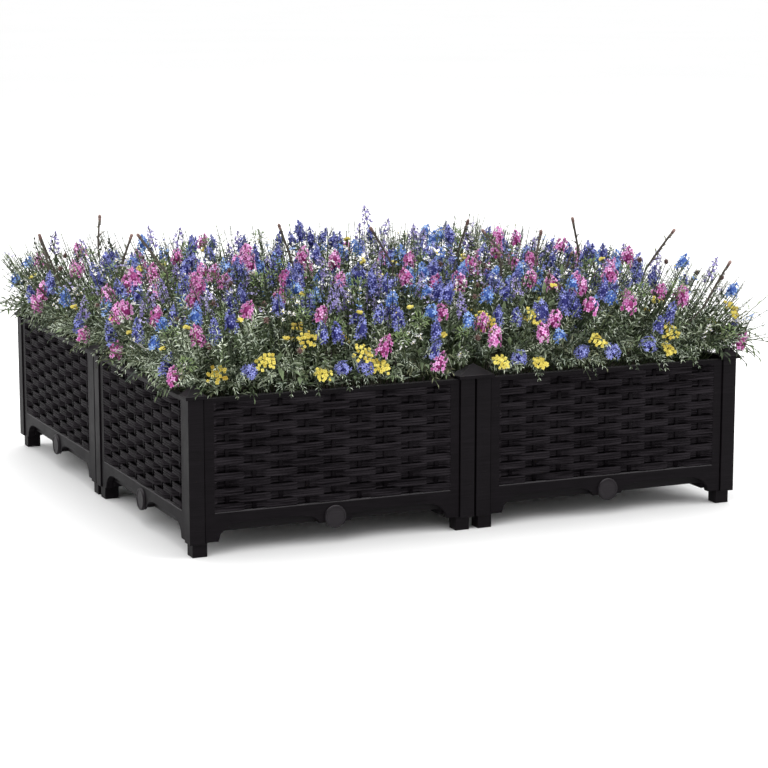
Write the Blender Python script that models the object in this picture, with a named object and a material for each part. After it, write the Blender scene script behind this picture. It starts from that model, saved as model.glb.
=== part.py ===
"""Planted raised planter: a square bed of four black woven-look modules, filled with flowers.

The bed stands on the floor (Z = 0) with its centre at the origin. The front is towards -Y.
"""
import math
import random

import bmesh
import bpy
from mathutils import Matrix, Vector

# The box, in metres
MODULE = 0.400            # side of one square module
MODULE_GAP = 0.003        # space between two modules
FIT = 0.0003              # play between pieces that touch
FOOT_HEIGHT = 0.0186      # floor to the top of the feet
POST_LOW = 0.0176         # floor to the lower end of the posts
WALL_TOP = 0.2046         # floor to the top of the walls
RAIL_TOP = 0.0562         # floor to the top of the panel's bottom rail
ARCH_TOP = 0.042          # underside of the bottom rail in the arches
RAIL_MIDDLE = 0.030       # underside of the bottom rail at the boss
EDGE = MODULE + MODULE_GAP / 2

# Posts
POST = 0.0205             # visible width of a column
POST_BACK = 0.028         # how far a post's hidden back reaches into a module
FOOT_INSET = 0.005
FOOT = 0.020
SLOT_DEPTH = 0.0043
SLOT_WIDTH = 0.0046
SLOT_FLOOR = 0.0403
BRACKET_REACH = 0.045
BRACKET_LOW = 0.022
CENTRE_FOOT = 0.047
GROOVE_DEPTH = 0.006      # groove between the two columns of a middle post
PAST = 0.010              # how far a cutter runs past what it cuts
SLIP = 0.0005             # the same where something close behind must stay whole

# Caps
CAP_OVERHANG = 0.004
CAP_RIM = 0.0045
CAP_RISE = 0.0145
SPIGOT = 0.007
SPIGOT_DEPTH = 0.008
SPIGOT_SHIFT = 0.0015     # off the middle of the column, away from the slots
CAP_STEP = 0.0018         # flat edge round the pyramid

# Panels
PANEL_FRONT = 0.002       # set back from the posts
PANEL_BACK = 0.012
PANEL_START = 0.0215      # module corner to the panel's end
STILE_END = 0.035         # module corner to the weave
TOP_RAIL = 0.006
WEAVE_COLUMNS = 9
WEAVE_ROWS = 7            # each is two strands high
WEAVE_DEPTH = 0.0018
WEAVE_RELIEF = 0.0015
TONGUE = 0.004
TONGUE_ROOT = 0.002       # how far a tongue runs into the panel's end
TONGUE_DROP = 0.001       # top of the wall to the top of a tongue
BOSS_RADIUS = 0.0147
BOSS_HEIGHT = 0.037
BOSS_PROUD = 0.003
BOSS_RING = 0.0025
BOSS_DISH = 0.0009
BOSS_ROOT = 0.004         # how far the boss runs into the panel
ARCH_FOOT = 0.018         # panel's end to the start of the arch
ARCH_SHOULDER = 0.050     # panel's end to the arch's full height
ARCH_FALL = 0.050         # panel's middle to where the arch comes down again
ARCH_FLAT = 0.022         # panel's middle to the low stretch at the boss
CURVE_STEPS = 4

# Inside
DIVIDER = 0.004
DIVIDER_LOW = 0.060
DIVIDER_TOP = 0.187
SLOT_MOUTH = 0.001        # how far a divider's slot opens past the post's face
TRAY_LOW = 0.030
TRAY_FLOOR = 0.003
TRAY_WALL = 0.0024
TRAY_TOP = 0.052
TRAY_GAP = 0.0005         # half the space between two trays
NOTCH_REACH = 0.05
SOIL_TOP = 0.190
SOIL_STEPS = 4
SOIL_WAVE = 0.0018
SOIL_RIPPLES = (37, 31)   # waves of the soil's top along X and Y, in radians a metre
SOIL_LAP = 0.003          # how far the soil in the tray runs up into the block above
SMOOTH_ANGLE = math.radians(35)

# Mesh tidying
WELD = 2e-6
FLAT_ANGLE = math.radians(0.15)

# Planting
CROWN_RADIUS = 0.006
CROWN_LOW = 0.160
CROWN_TOP = 0.203
CROWN_SIDES = 8
CROWN_INSET = 0.030       # wall to the nearest crown
REACH = 0.4365            # furthest the plants hang over the walls
BUSH_RINGS = ((0.0, 0.197), (0.26, 0.210), (0.48, 0.226),
              (0.46, 0.247), (0.28, 0.266), (0.0, 0.260))   # share of the cell, height
BUSH_COLUMNS = 8
BUSH_DENT = 0.58          # how far the bush falls back between its leaf tips
LOW_LEAVES = 4
HIGH_LEAVES = 3
BUSH_MIDDLE = 0.240       # height where leaves and stems start inside the bush
LEAF_ROOT = 0.008         # how far from the middle a leaf starts
STEM_ROOT = 0.22          # share of the way out to its head where a stem starts
LOW_LEAF = dict(tip=(0.222, 0.255), arch=0.018)
HIGH_LEAF = dict(reach=(0.055, 0.075), tip=(0.285, 0.305), arch=0.006)
PLAIN_WIDTH = 0.0060      # half width of a plain leaf
CUT_WIDTH = 0.0085        # half width of a leaf with cut edges
BLADE_THICKNESS = 0.0011  # half the leaf's thickness at its middle rib
HEAD_LEAN = (0.04, 0.12)
HEAD_FAN = 9.0            # how strongly the heads turn outwards
LIFTS = (0.0, 0.003, 0.006, 0.009, 0.012)
STEM_RADIUS = 0.0013
CELL_GAP = 0.0006
LEAF_MARGIN = 0.010       # cell's edge to a leaf's tip
WALL_CLEAR = 0.003        # kept free inside and above the walls
RIM_CLEAR = 0.2080
CAP_CLEAR = 0.2290
CAP_MARGIN = 0.001
RAISE = 0.006             # how much a leaf's tip is lifted at a time
RAISES = 8
SEED = 11

# Each kind of plant: colour, head shape, length and radius, number of heads, height of the tips
KINDS = {
    "blue_spikes": dict(color=(0.16, 0.17, 0.55), head="spike", length=(0.044, 0.058),
                        radius=0.0105, heads=5, tip=(0.295, 0.340)),
    "sky_clusters": dict(color=(0.30, 0.42, 0.78), head="spike", length=(0.034, 0.046),
                         radius=0.0115, heads=5, tip=(0.285, 0.330)),
    "pink_heads": dict(color=(0.72, 0.20, 0.45), head="spike", length=(0.034, 0.048),
                       radius=0.0115, heads=5, tip=(0.290, 0.335)),
    "lavender_spikes": dict(color=(0.46, 0.40, 0.70), head="spike", length=(0.048, 0.064),
                            radius=0.0075, heads=5, tip=(0.310, 0.352)),
    "yarrow": dict(color=(0.85, 0.68, 0.08), head="umbel", length=(0.017, 0.020),
                   radius=0.0165, heads=5, tip=(0.248, 0.288)),
    "white_flowers": dict(color=(0.80, 0.80, 0.74), head="star", length=(0.006, 0.007),
                          radius=0.0115, heads=6, tip=(0.280, 0.330)),
    "bud_twigs": dict(color=(0.16, 0.15, 0.10), head="spike", length=(0.060, 0.075),
                      radius=0.0060, heads=5, tip=(0.335, 0.374)),
    "feathery_foliage": dict(color=(0.22, 0.30, 0.16), head="feather", length=(0.060, 0.078),
                             radius=0.0120, heads=5, tip=(0.275, 0.325)),
}
COLUMNS_OF_THREE = (-REACH, -0.262, -0.131, 0.0, 0.131, 0.262, REACH)
COLUMNS_OF_TWO = (-REACH, -0.190, 0.0, 0.190, REACH)
ROWS = (-REACH, -0.205, 0.0, 0.205, REACH)
PLANTING = (
    (COLUMNS_OF_THREE, ("feathery_foliage", "yarrow", "blue_spikes",
                        "yarrow", "pink_heads", "yarrow")),
    (COLUMNS_OF_THREE, ("pink_heads", "blue_spikes", "lavender_spikes",
                        "sky_clusters", "bud_twigs", "blue_spikes")),
    (COLUMNS_OF_TWO, ("blue_spikes", "pink_heads", "white_flowers", "pink_heads")),
    (COLUMNS_OF_THREE, ("bud_twigs", "sky_clusters", "feathery_foliage",
                        "blue_spikes", "lavender_spikes", "yarrow")),
)


def fresh_collections():
    for item in list(bpy.data.objects):
        bpy.data.objects.remove(item, do_unlink=True)
    parts = bpy.data.collections.new("planted_raised_planter")
    cutters = bpy.data.collections.new("cutters")
    cutters.hide_render = True
    bpy.context.scene.collection.children.link(parts)
    bpy.context.scene.collection.children.link(cutters)
    return parts, cutters


def make_material(name, color, roughness):
    material = bpy.data.materials.new(name)
    material.use_nodes = True
    shader = material.node_tree.nodes["Principled BSDF"]
    shader.inputs["Base Color"].default_value = (*color, 1.0)
    shader.inputs["Roughness"].default_value = roughness
    shader.inputs["Metallic"].default_value = 0.0
    return material


def mesh_object(name, bm, collection):
    bmesh.ops.recalc_face_normals(bm, faces=bm.faces)
    mesh = bpy.data.meshes.new(name)
    bm.to_mesh(mesh)
    bm.free()
    item = bpy.data.objects.new(name, mesh)
    item.display_type = "WIRE"
    collection.objects.link(item)
    return item


def box(name, low, high, collection):
    """A box between two corners."""
    bm = bmesh.new()
    size = Vector(high) - Vector(low)
    middle = (Vector(high) + Vector(low)) / 2
    place = Matrix.Translation(middle) @ Matrix.Diagonal((*size, 1.0))
    bmesh.ops.create_cube(bm, size=1.0, matrix=place)
    return mesh_object(name, bm, collection)


def tidied(mesh):
    """Join flat neighbours into larger faces and say whether the mesh is closed and outward."""
    bm = bmesh.new()
    bm.from_mesh(mesh)
    bmesh.ops.remove_doubles(bm, verts=bm.verts, dist=WELD)
    bmesh.ops.dissolve_degenerate(bm, edges=bm.edges, dist=WELD)
    bmesh.ops.dissolve_limit(bm, angle_limit=FLAT_ANGLE, verts=bm.verts, edges=bm.edges)
    bmesh.ops.triangulate(bm, faces=[face for face in bm.faces if len(face.verts) > 4])
    closed = all(len(edge.link_faces) == 2 for edge in bm.edges) and bm.calc_volume(signed=True) > 0
    bm.to_mesh(mesh)
    bm.free()
    return closed


def combine(item, others, operation):
    """One Boolean with all of the others, which are then removed."""
    tools = bpy.data.collections.new("tools")
    bpy.context.scene.collection.children.link(tools)
    for other in others:
        for home in list(other.users_collection):
            home.objects.unlink(other)
        tools.objects.link(other)
    modifier = item.modifiers.new("combine", "BOOLEAN")
    modifier.operation = operation
    modifier.operand_type = "COLLECTION"
    modifier.collection = tools
    for solver in ("EXACT", "MANIFOLD"):
        modifier.solver = solver
        graph = bpy.context.evaluated_depsgraph_get()
        mesh = bpy.data.meshes.new_from_object(item.evaluated_get(graph))
        if tidied(mesh):
            break
    item.modifiers.clear()
    item.data = mesh
    for other in list(tools.objects):
        bpy.data.objects.remove(other, do_unlink=True)
    bpy.data.collections.remove(tools)
    return item


def finish(item, collection, material):
    """Move a finished piece to the parts, give it its material and shade its curves smooth."""
    for home in list(item.users_collection):
        home.objects.unlink(item)
    collection.objects.link(item)
    item.display_type = "TEXTURED"
    item.data.materials.clear()
    item.data.materials.append(material)
    for face in item.data.polygons:
        face.use_smooth = True
    item.data.set_sharp_from_angle(angle=SMOOTH_ANGLE)
    return item


def quarter_turns(item, names, collection):
    """Copies of a piece, turned about the middle of the bed by quarter turns."""
    item.name = names[0]
    for turn, name in enumerate(names[1:], start=1):
        twin = item.copy()
        twin.data = item.data.copy()
        twin.name = name
        twin.rotation_euler = (0, 0, turn * math.pi / 2)
        collection.objects.link(twin)
    return item


def panel_slot(low_x, high_x, low_y, high_y, cutters):
    return box("slot", (low_x, low_y, SLOT_FLOOR), (high_x, high_y, WALL_TOP + PAST), cutters)


def corner_post(cutters):
    """Square column, hidden back, foot and tray bracket, with a slot for each panel."""
    e = -EDGE
    slot_low = (PANEL_FRONT + PANEL_BACK - SLOT_WIDTH) / 2
    slot_high = slot_low + SLOT_WIDTH
    back = PANEL_BACK + FIT
    post = box("corner_post", (e, e, POST_LOW), (e + POST, e + POST, WALL_TOP), cutters)
    pieces = [
        box("back", (e + back, e + back, POST_LOW),
            (e + POST_BACK, e + POST_BACK, WALL_TOP - TOP_RAIL), cutters),
        box("foot", (e + FOOT_INSET, e + FOOT_INSET, 0),
            (e + FOOT_INSET + FOOT, e + FOOT_INSET + FOOT, FOOT_HEIGHT), cutters),
        box("bracket", (e + back, e + back, BRACKET_LOW),
            (e + BRACKET_REACH, e + BRACKET_REACH, TRAY_LOW - FIT), cutters),
    ]
    combine(post, pieces, "UNION")
    floor = POST - SLOT_DEPTH
    holes = [
        panel_slot(e + floor, e + POST + SLIP, e + slot_low, e + slot_high, cutters),
        panel_slot(e + slot_low, e + slot_high, e + floor, e + POST + SLIP, cutters),
        spigot_hole(e + POST / 2 - SPIGOT_SHIFT, e + POST / 2 - SPIGOT_SHIFT, SPIGOT, cutters),
    ]
    return combine(post, holes, "DIFFERENCE")


def spigot_hole(x, y, size, cutters):
    half = size / 2 + FIT
    low = WALL_TOP - SPIGOT_DEPTH - FIT
    return box("socket", (x - half, y - half, low), (x + half, y + half, WALL_TOP + PAST), cutters)


def middle_post(cutters):
    """Two columns in one piece with a groove between them, for the middle of the front."""
    e = -EDGE
    side = MODULE_GAP / 2
    slot_low = (PANEL_FRONT + PANEL_BACK - SLOT_WIDTH) / 2
    slot_high = slot_low + SLOT_WIDTH
    back = PANEL_BACK + FIT
    post = box("middle_post", (-side - POST, e, POST_LOW), (side + POST, e + POST, WALL_TOP), cutters)
    pieces = [
        box("back", (-side - POST_BACK, e + back, POST_LOW),
            (side + POST_BACK, e + POST_BACK, WALL_TOP - TOP_RAIL), cutters),
        box("bracket", (-side - BRACKET_REACH, e + back, BRACKET_LOW),
            (side + BRACKET_REACH, e + BRACKET_REACH, TRAY_LOW - FIT), cutters),
    ]
    for way in (-1, 1):
        near = side + FOOT_INSET
        ends = sorted((way * near, way * (near + FOOT)))
        pieces.append(box("foot", (ends[0], e + FOOT_INSET, 0),
                          (ends[1], e + FOOT_INSET + FOOT, FOOT_HEIGHT), cutters))
    combine(post, pieces, "UNION")
    holes = [box("groove", (-side, e - PAST, FOOT_HEIGHT - PAST),
                 (side, e + GROOVE_DEPTH, WALL_TOP + PAST), cutters)]
    for way in (-1, 1):
        ends = sorted((way * (side + POST - SLOT_DEPTH), way * (side + POST + SLIP)))
        holes.append(panel_slot(ends[0], ends[1], e + slot_low, e + slot_high, cutters))
        holes.append(spigot_hole(way * (side + POST / 2 - SPIGOT_SHIFT),
                                 e + POST / 2 - SPIGOT_SHIFT, SPIGOT, cutters))
    holes.append(divider_slot((0, 1), e + POST_BACK, cutters))
    return combine(post, holes, "DIFFERENCE")


def divider_slot(way, face, cutters):
    """Upright slot for a divider's end, open towards the way (x, y) that the divider runs."""
    half = DIVIDER / 2 + FIT
    inner = face - SLOT_DEPTH - FIT
    outer = face + SLOT_MOUTH
    x_low, x_high = (-half, half) if way[0] == 0 else sorted((way[0] * inner, way[0] * outer))
    if way[1] == 0:
        y_low, y_high = -half, half
    elif way[1] > 0:
        y_low, y_high = inner, outer
    else:
        y_low, y_high = -outer, -inner
    return box("divider_slot", (x_low, y_low, DIVIDER_LOW), (x_high, y_high, WALL_TOP + PAST), cutters)


def centre_post(cutters):
    """The post in the middle, where the four modules meet."""
    half = MODULE_GAP / 2 + POST
    post = box("centre_post", (-half, -half, POST_LOW), (half, half, WALL_TOP), cutters)
    reach = MODULE_GAP / 2 + BRACKET_REACH
    pieces = [
        box("foot", (-CENTRE_FOOT / 2, -CENTRE_FOOT / 2, 0),
            (CENTRE_FOOT / 2, CENTRE_FOOT / 2, FOOT_HEIGHT), cutters),
        box("bracket", (-reach, -reach, BRACKET_LOW), (reach, reach, TRAY_LOW - FIT), cutters),
    ]
    combine(post, pieces, "UNION")
    holes = [divider_slot(way, half, cutters) for way in ((1, 0), (-1, 0), (0, 1), (0, -1))]
    holes.append(spigot_hole(0, 0, SPIGOT * 2, cutters))
    return combine(post, holes, "DIFFERENCE")


def cap(name, low, high, spigots, size, cutters):
    """Low pyramid with a square rim, held by square spigots."""
    rim_low = WALL_TOP + FIT
    width = high[0] - low[0]
    depth = high[1] - low[1]
    bm = bmesh.new()
    place = Matrix.Translation(((low[0] + high[0]) / 2, (low[1] + high[1]) / 2, rim_low + CAP_RIM / 2))
    bmesh.ops.create_cube(bm, size=1.0, matrix=place @ Matrix.Diagonal((width, depth, CAP_RIM, 1.0)))
    top = [face for face in bm.faces if face.normal.z > 0.5]
    bmesh.ops.inset_region(bm, faces=top, thickness=CAP_STEP)
    top = [face for face in bm.faces if face.normal.z > 0.5 and face.calc_center_median().z > rim_low]
    inner = min(top, key=lambda face: (face.calc_center_median().xy - place.translation.xy).length)
    peak = bmesh.ops.poke(bm, faces=[inner])["verts"][0]
    peak.co.z = rim_low + CAP_RIM + CAP_RISE
    body = mesh_object(name, bm, cutters)
    half = size / 2
    pins = []
    for x, y in spigots:
        pins.append(box("spigot", (x - half, y - half, WALL_TOP - SPIGOT_DEPTH),
                        (x + half, y + half, rim_low + CAP_RIM / 2), cutters))
    return combine(body, pins, "UNION")


def panel_outline(start, end):
    """Outline of a wall panel seen from the front, as (x, z) points."""
    middle = (start + end) / 2
    points = [(start, WALL_TOP), (start, FOOT_HEIGHT + FIT)]
    low = FOOT_HEIGHT + FIT
    foot_end = start + ARCH_FOOT
    shoulder = start + ARCH_SHOULDER
    fall = middle - ARCH_FALL
    flat = middle - ARCH_FLAT
    half = [(foot_end, low)]
    for step in range(1, CURVE_STEPS + 1):
        angle = step * math.pi / (2 * CURVE_STEPS)
        half.append((shoulder - (shoulder - foot_end) * math.cos(angle),
                     low + (ARCH_TOP - low) * math.sin(angle)))
    for step in range(CURVE_STEPS):
        angle = step * math.pi / (2 * CURVE_STEPS)
        half.append((fall + (flat - fall) * math.sin(angle),
                     RAIL_MIDDLE + (ARCH_TOP - RAIL_MIDDLE) * math.cos(angle)))
    half.append((flat, RAIL_MIDDLE))
    points += half
    points += [(2 * middle - x, z) for x, z in reversed(half)]
    points += [(end, FOOT_HEIGHT + FIT), (end, WALL_TOP)]
    return points


def weave_cutter(x_low, x_high, z_low, z_high, cutters):
    """Block that sinks the woven field: its inner face waves up and down like the strands."""
    bm = bmesh.new()
    bmesh.ops.create_grid(bm, x_segments=WEAVE_COLUMNS + 1, y_segments=WEAVE_ROWS + 1, size=1.0)
    for vert in bm.verts:
        column = round((vert.co.x + 1) / 2 * (WEAVE_COLUMNS + 1))
        row = round((vert.co.y + 1) / 2 * (WEAVE_ROWS + 1))
        across = min(max((column - 0.5) / WEAVE_COLUMNS, 0), 1)
        up = min(max((row - 0.5) / WEAVE_ROWS, 0), 1)
        inside = 0 < column <= WEAVE_COLUMNS and 0 < row <= WEAVE_ROWS
        relief = (WEAVE_RELIEF if (column + row) % 2 else -WEAVE_RELIEF) if inside else 0.0
        vert.co = (x_low + (x_high - x_low) * across,
                   -EDGE + PANEL_FRONT + WEAVE_DEPTH + relief,
                   z_low + (z_high - z_low) * up)
    for face in list(bm.faces):
        a, b, c, d = face.verts
        deep = (a, c) if a.co.y + c.co.y > b.co.y + d.co.y else (b, d)
        bmesh.utils.face_split(face, *deep)
    sheet = list(bm.faces)
    grown = bmesh.ops.extrude_face_region(bm, geom=sheet, use_keep_orig=True)
    for vert in (part for part in grown["geom"] if isinstance(part, bmesh.types.BMVert)):
        vert.co.y = -EDGE - PAST
    return mesh_object("weave_cutter", bm, cutters)


def boss(x, cutters):
    """Round boss with a raised ring, turned from a profile."""
    y_face = -EDGE + PANEL_FRONT - BOSS_PROUD
    y_back = -EDGE + PANEL_FRONT + BOSS_ROOT
    inner = BOSS_RADIUS - BOSS_RING
    profile = [(0, y_face + BOSS_DISH), (inner, y_face + BOSS_DISH), (inner, y_face),
               (BOSS_RADIUS, y_face), (BOSS_RADIUS, y_back), (0, y_back)]
    bm = bmesh.new()
    verts = [bm.verts.new((x + radius, y, BOSS_HEIGHT)) for radius, y in profile]
    edges = [bm.edges.new((a, b)) for a, b in zip(verts, verts[1:])]
    bmesh.ops.spin(bm, geom=verts + edges, cent=(x, 0, BOSS_HEIGHT), axis=(0, 1, 0),
                   angle=2 * math.pi, steps=16, use_merge=True)
    bmesh.ops.remove_doubles(bm, verts=bm.verts, dist=1e-6)
    return mesh_object("boss", bm, cutters)


def front_panel(side, cutters):
    """Wall panel of the front, on the left (side -1) or the right (side 1)."""
    start = -EDGE + PANEL_START
    end = -MODULE_GAP / 2 - PANEL_START
    outline = bpy.data.curves.new("panel", "CURVE")
    outline.dimensions = "2D"
    outline.fill_mode = "BOTH"
    outline.extrude = (PANEL_BACK - PANEL_FRONT) / 2
    points = panel_outline(start, end)
    spline = outline.splines.new("POLY")
    spline.points.add(len(points) - 1)
    for point, (x, z) in zip(spline.points, points):
        point.co = (x, z, 0, 1)
    spline.use_cyclic_u = True
    holder = bpy.data.objects.new("panel", outline)
    cutters.objects.link(holder)
    graph = bpy.context.evaluated_depsgraph_get()
    mesh = bpy.data.meshes.new_from_object(holder.evaluated_get(graph))
    bpy.data.objects.remove(holder, do_unlink=True)
    middle = -EDGE + (PANEL_FRONT + PANEL_BACK) / 2
    turn = Matrix.Translation((0, middle, 0)) @ Matrix.Rotation(math.pi / 2, 4, "X")
    mesh.transform(turn)
    bm = bmesh.new()
    bm.from_mesh(mesh)
    bmesh.ops.remove_doubles(bm, verts=bm.verts, dist=1e-6)
    panel = mesh_object("panel", bm, cutters)
    weave = weave_cutter(-EDGE + STILE_END, -MODULE_GAP / 2 - STILE_END,
                         RAIL_TOP, WALL_TOP - TOP_RAIL, cutters)
    combine(panel, [weave], "DIFFERENCE")
    tongue_low = -EDGE + (PANEL_FRONT + PANEL_BACK - TONGUE) / 2
    tongue_reach = SLOT_DEPTH + PANEL_START - POST - FIT
    pieces = [boss((start + end) / 2, cutters)]
    for near, far in ((start - tongue_reach, start + TONGUE_ROOT), (end - TONGUE_ROOT, end + tongue_reach)):
        pieces.append(box("tongue", (near, tongue_low, SLOT_FLOOR + FIT),
                          (far, tongue_low + TONGUE, WALL_TOP - TONGUE_DROP), cutters))
    combine(panel, pieces, "UNION")
    if side > 0:
        panel.data.transform(Matrix.Translation((EDGE + MODULE_GAP / 2, 0, 0)))
    return panel


def divider(cutters):
    """Board between two modules, from the front middle post to the centre post."""
    near = -EDGE + POST_BACK - SLOT_DEPTH
    far = -(MODULE_GAP / 2 + POST) + SLOT_DEPTH
    return box("divider", (-DIVIDER / 2, near, DIVIDER_LOW + FIT), (DIVIDER / 2, far, DIVIDER_TOP), cutters)


def notch_boxes(low_z, high_z, outer, extra, cutters):
    """Cutters for the four corners of the front left module, round the posts."""
    near = -EDGE + outer
    far = -MODULE_GAP / 2 - extra
    cuts = []
    spans = ((near - NOTCH_REACH, near), (far, far + NOTCH_REACH))
    for x_low, x_high in spans:
        for y_low, y_high in spans:
            cuts.append(box("notch", (x_low, y_low, low_z), (x_high, y_high, high_z), cutters))
    return cuts


def tray(cutters):
    """Shallow tray of the front left module, notched round the four posts."""
    low = -EDGE + PANEL_BACK + 2 * FIT
    high = -TRAY_GAP
    body = box("tray", (low, low, TRAY_LOW), (high, high, TRAY_TOP), cutters)
    notch = POST_BACK + FIT
    combine(body, notch_boxes(TRAY_LOW - PAST, TRAY_TOP + PAST, notch, notch, cutters), "DIFFERENCE")
    room = box("room", (low + TRAY_WALL, low + TRAY_WALL, TRAY_LOW + TRAY_FLOOR),
               (high - TRAY_WALL, high - TRAY_WALL, TRAY_TOP + PAST), cutters)
    wide = notch + TRAY_WALL
    combine(room, notch_boxes(TRAY_LOW - 2 * PAST, TRAY_TOP + 2 * PAST, wide, wide, cutters), "DIFFERENCE")
    return combine(body, [room], "DIFFERENCE")


def soil_block(side_x, side_y, crowns, cutters):
    """Soil of one module, with a plain hole for each crown."""
    inner = DIVIDER / 2 + FIT
    outer = EDGE - PANEL_BACK - 2 * FIT
    wall = TRAY_WALL + 2 * FIT
    bm = bmesh.new()
    bmesh.ops.create_grid(bm, x_segments=SOIL_STEPS, y_segments=SOIL_STEPS, size=0.5)
    middle = (inner + outer) / 2
    for vert in bm.verts:
        x = middle + vert.co.x * (outer - inner)
        y = middle + vert.co.y * (outer - inner)
        wave = math.sin(SOIL_RIPPLES[0] * x + 1.3 * side_x) * math.cos(SOIL_RIPPLES[1] * y + side_y)
        vert.co = (side_x * x, side_y * y, SOIL_TOP + SOIL_WAVE * wave)
    bmesh.ops.triangulate(bm, faces=bm.faces)
    sheet = list(bm.faces)
    grown = bmesh.ops.extrude_face_region(bm, geom=sheet, use_keep_orig=True)
    for vert in (part for part in grown["geom"] if isinstance(part, bmesh.types.BMVert)):
        vert.co.z = TRAY_TOP + FIT
    bottom = [face for face in bm.faces if all(vert.co.z < TRAY_TOP + 2 * FIT for vert in face.verts)]
    bmesh.ops.dissolve_faces(bm, faces=bottom)
    body = mesh_object("soil", bm, cutters)
    inner_low = TRAY_GAP + wall
    outer_low = outer - wall + FIT
    ends_x = sorted((side_x * inner_low, side_x * outer_low))
    ends_y = sorted((side_y * inner_low, side_y * outer_low))
    lower = box("soil_lower", (ends_x[0], ends_y[0], TRAY_LOW + TRAY_FLOOR + FIT),
                (ends_x[1], ends_y[1], TRAY_TOP + SOIL_LAP), cutters)
    combine(body, [lower], "UNION")
    notch = POST_BACK + TRAY_WALL + 2 * FIT
    low_post = MODULE_GAP / 2 + notch
    high_post = EDGE - notch
    cuts = []
    spans = ((-PAST, low_post), (high_post, EDGE))
    for x_pair in spans:
        for y_pair in spans:
            x_ends = sorted((side_x * x_pair[0], side_x * x_pair[1]))
            y_ends = sorted((side_y * y_pair[0], side_y * y_pair[1]))
            cuts.append(box("notch", (x_ends[0], y_ends[0], TRAY_LOW - PAST),
                            (x_ends[1], y_ends[1], WALL_TOP + PAST), cutters))
    for x, y in crowns:
        if x * side_x > 0 and y * side_y > 0:
            bm = bmesh.new()
            depth = SOIL_TOP + 2 * PAST - CROWN_LOW
            place = Matrix.Translation((x, y, CROWN_LOW + depth / 2))
            bmesh.ops.create_cone(bm, cap_ends=True, segments=CROWN_SIDES, radius1=CROWN_RADIUS + FIT,
                                  radius2=CROWN_RADIUS + FIT, depth=depth, matrix=place)
            cuts.append(mesh_object("hole", bm, cutters))
    return combine(body, cuts, "DIFFERENCE")


def lattice(columns, rings, place, collection):
    """Closed body on a sphere's grid; place gives each point from its ring and column."""
    bm = bmesh.new()
    bmesh.ops.create_uvsphere(bm, u_segments=columns, v_segments=rings, radius=1.0)
    spots = []
    for vert in bm.verts:
        ring = round(rings * math.acos(max(-1, min(1, vert.co.z))) / math.pi)
        column = round(columns * math.atan2(vert.co.y, vert.co.x) / (2 * math.pi)) % columns
        spots.append((vert, ring, column))
    for vert, ring, column in spots:
        vert.co = place(ring, column)
    bmesh.ops.triangulate(bm, faces=bm.faces)
    return mesh_object("piece", bm, collection)


def axes(direction):
    """Two directions square to a given one; the first is level."""
    side = Vector((-direction.y, direction.x, 0))
    if side.length < 1e-6:
        side = Vector((1, 0, 0))
    side.normalize()
    return side, direction.cross(side).normalized()


def flower_spike(base, tip, radius, rings, collection):
    """Tapering head whose florets stand out in staggered rings."""
    columns = 6
    along = tip - base
    side, up = axes(along.normalized())

    def place(ring, column):
        part = ring / rings
        swell = math.sin(math.pi * part ** 0.75)
        floret = 1.0 if (ring + column) % 2 else 0.50
        reach = radius * swell * floret
        angle = 2 * math.pi * (column / columns + 0.03 * ring)
        return base + along * part + (side * math.cos(angle) + up * math.sin(angle)) * reach

    return lattice(columns, rings, place, collection)


def umbel(base, tip, radius, collection):
    """Flat-topped yarrow head of round buttons."""
    shape = (0.0, 0.90, 0.96, 0.52, 0.0)
    heights = (0.0, 0.45, 0.78, 1.0, 0.93)
    rings = 4
    columns = 8
    along = tip - base
    side, up = axes(along.normalized())

    def place(ring, column):
        bump = (ring + column) % 2
        reach = radius * shape[ring] * (1.0 if bump else 0.80)
        height = heights[ring] + (0.10 if bump and 0 < ring < rings else 0.0)
        angle = 2 * math.pi * column / columns
        return base + along * height + (side * math.cos(angle) + up * math.sin(angle)) * reach

    return lattice(columns, rings, place, collection)


def star_flower(base, tip, radius, collection):
    """Small open flower of five petals."""
    reaches = (0.0, 0.26, 1.0, 0.24, 0.0)
    heights = (0.0, 0.35, 0.72, 0.95, 1.0)
    along = tip - base
    side, up = axes(along.normalized())

    def place(ring, column):
        petal = 1.0 if column % 2 == 0 or ring != 2 else 0.45
        angle = 2 * math.pi * column / 10
        reach = radius * reaches[ring] * petal
        return base + along * heights[ring] + (side * math.cos(angle) + up * math.sin(angle)) * reach

    return lattice(10, 4, place, collection)


def blade(base, tip, width, lift, teeth, collection):
    """Leaf along an arc; teeth gives the number of cuts in its edges."""
    rings = 3 if teeth == 0 else 2 * teeth
    along = tip - base
    side, up = axes(along.normalized())

    def place(ring, column):
        part = ring / rings
        if teeth == 0:
            part = (0.0, 0.38, 0.74, 1.0)[ring]
        body = math.sin(math.pi * min(1, part + 0.06)) ** 0.6 if 0 < ring < rings else 0.0
        edge = 1.0 if teeth == 0 or ring % 2 else 0.40
        spread = (1, 0, -1, 0)[column] * width * body * edge
        rise = (0, 1, 0, -1)[column] * BLADE_THICKNESS * (0.55 + 0.45 * body) if 0 < ring < rings else 0.0
        arc = Vector((0, 0, 4 * lift * part * (1 - part)))
        reach = 0.05 if teeth and ring % 2 else 0.0
        return base + along * min(1.0, part + reach * abs(spread) / width) + arc + side * spread + up * rise

    return lattice(4, rings, place, collection)


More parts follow.
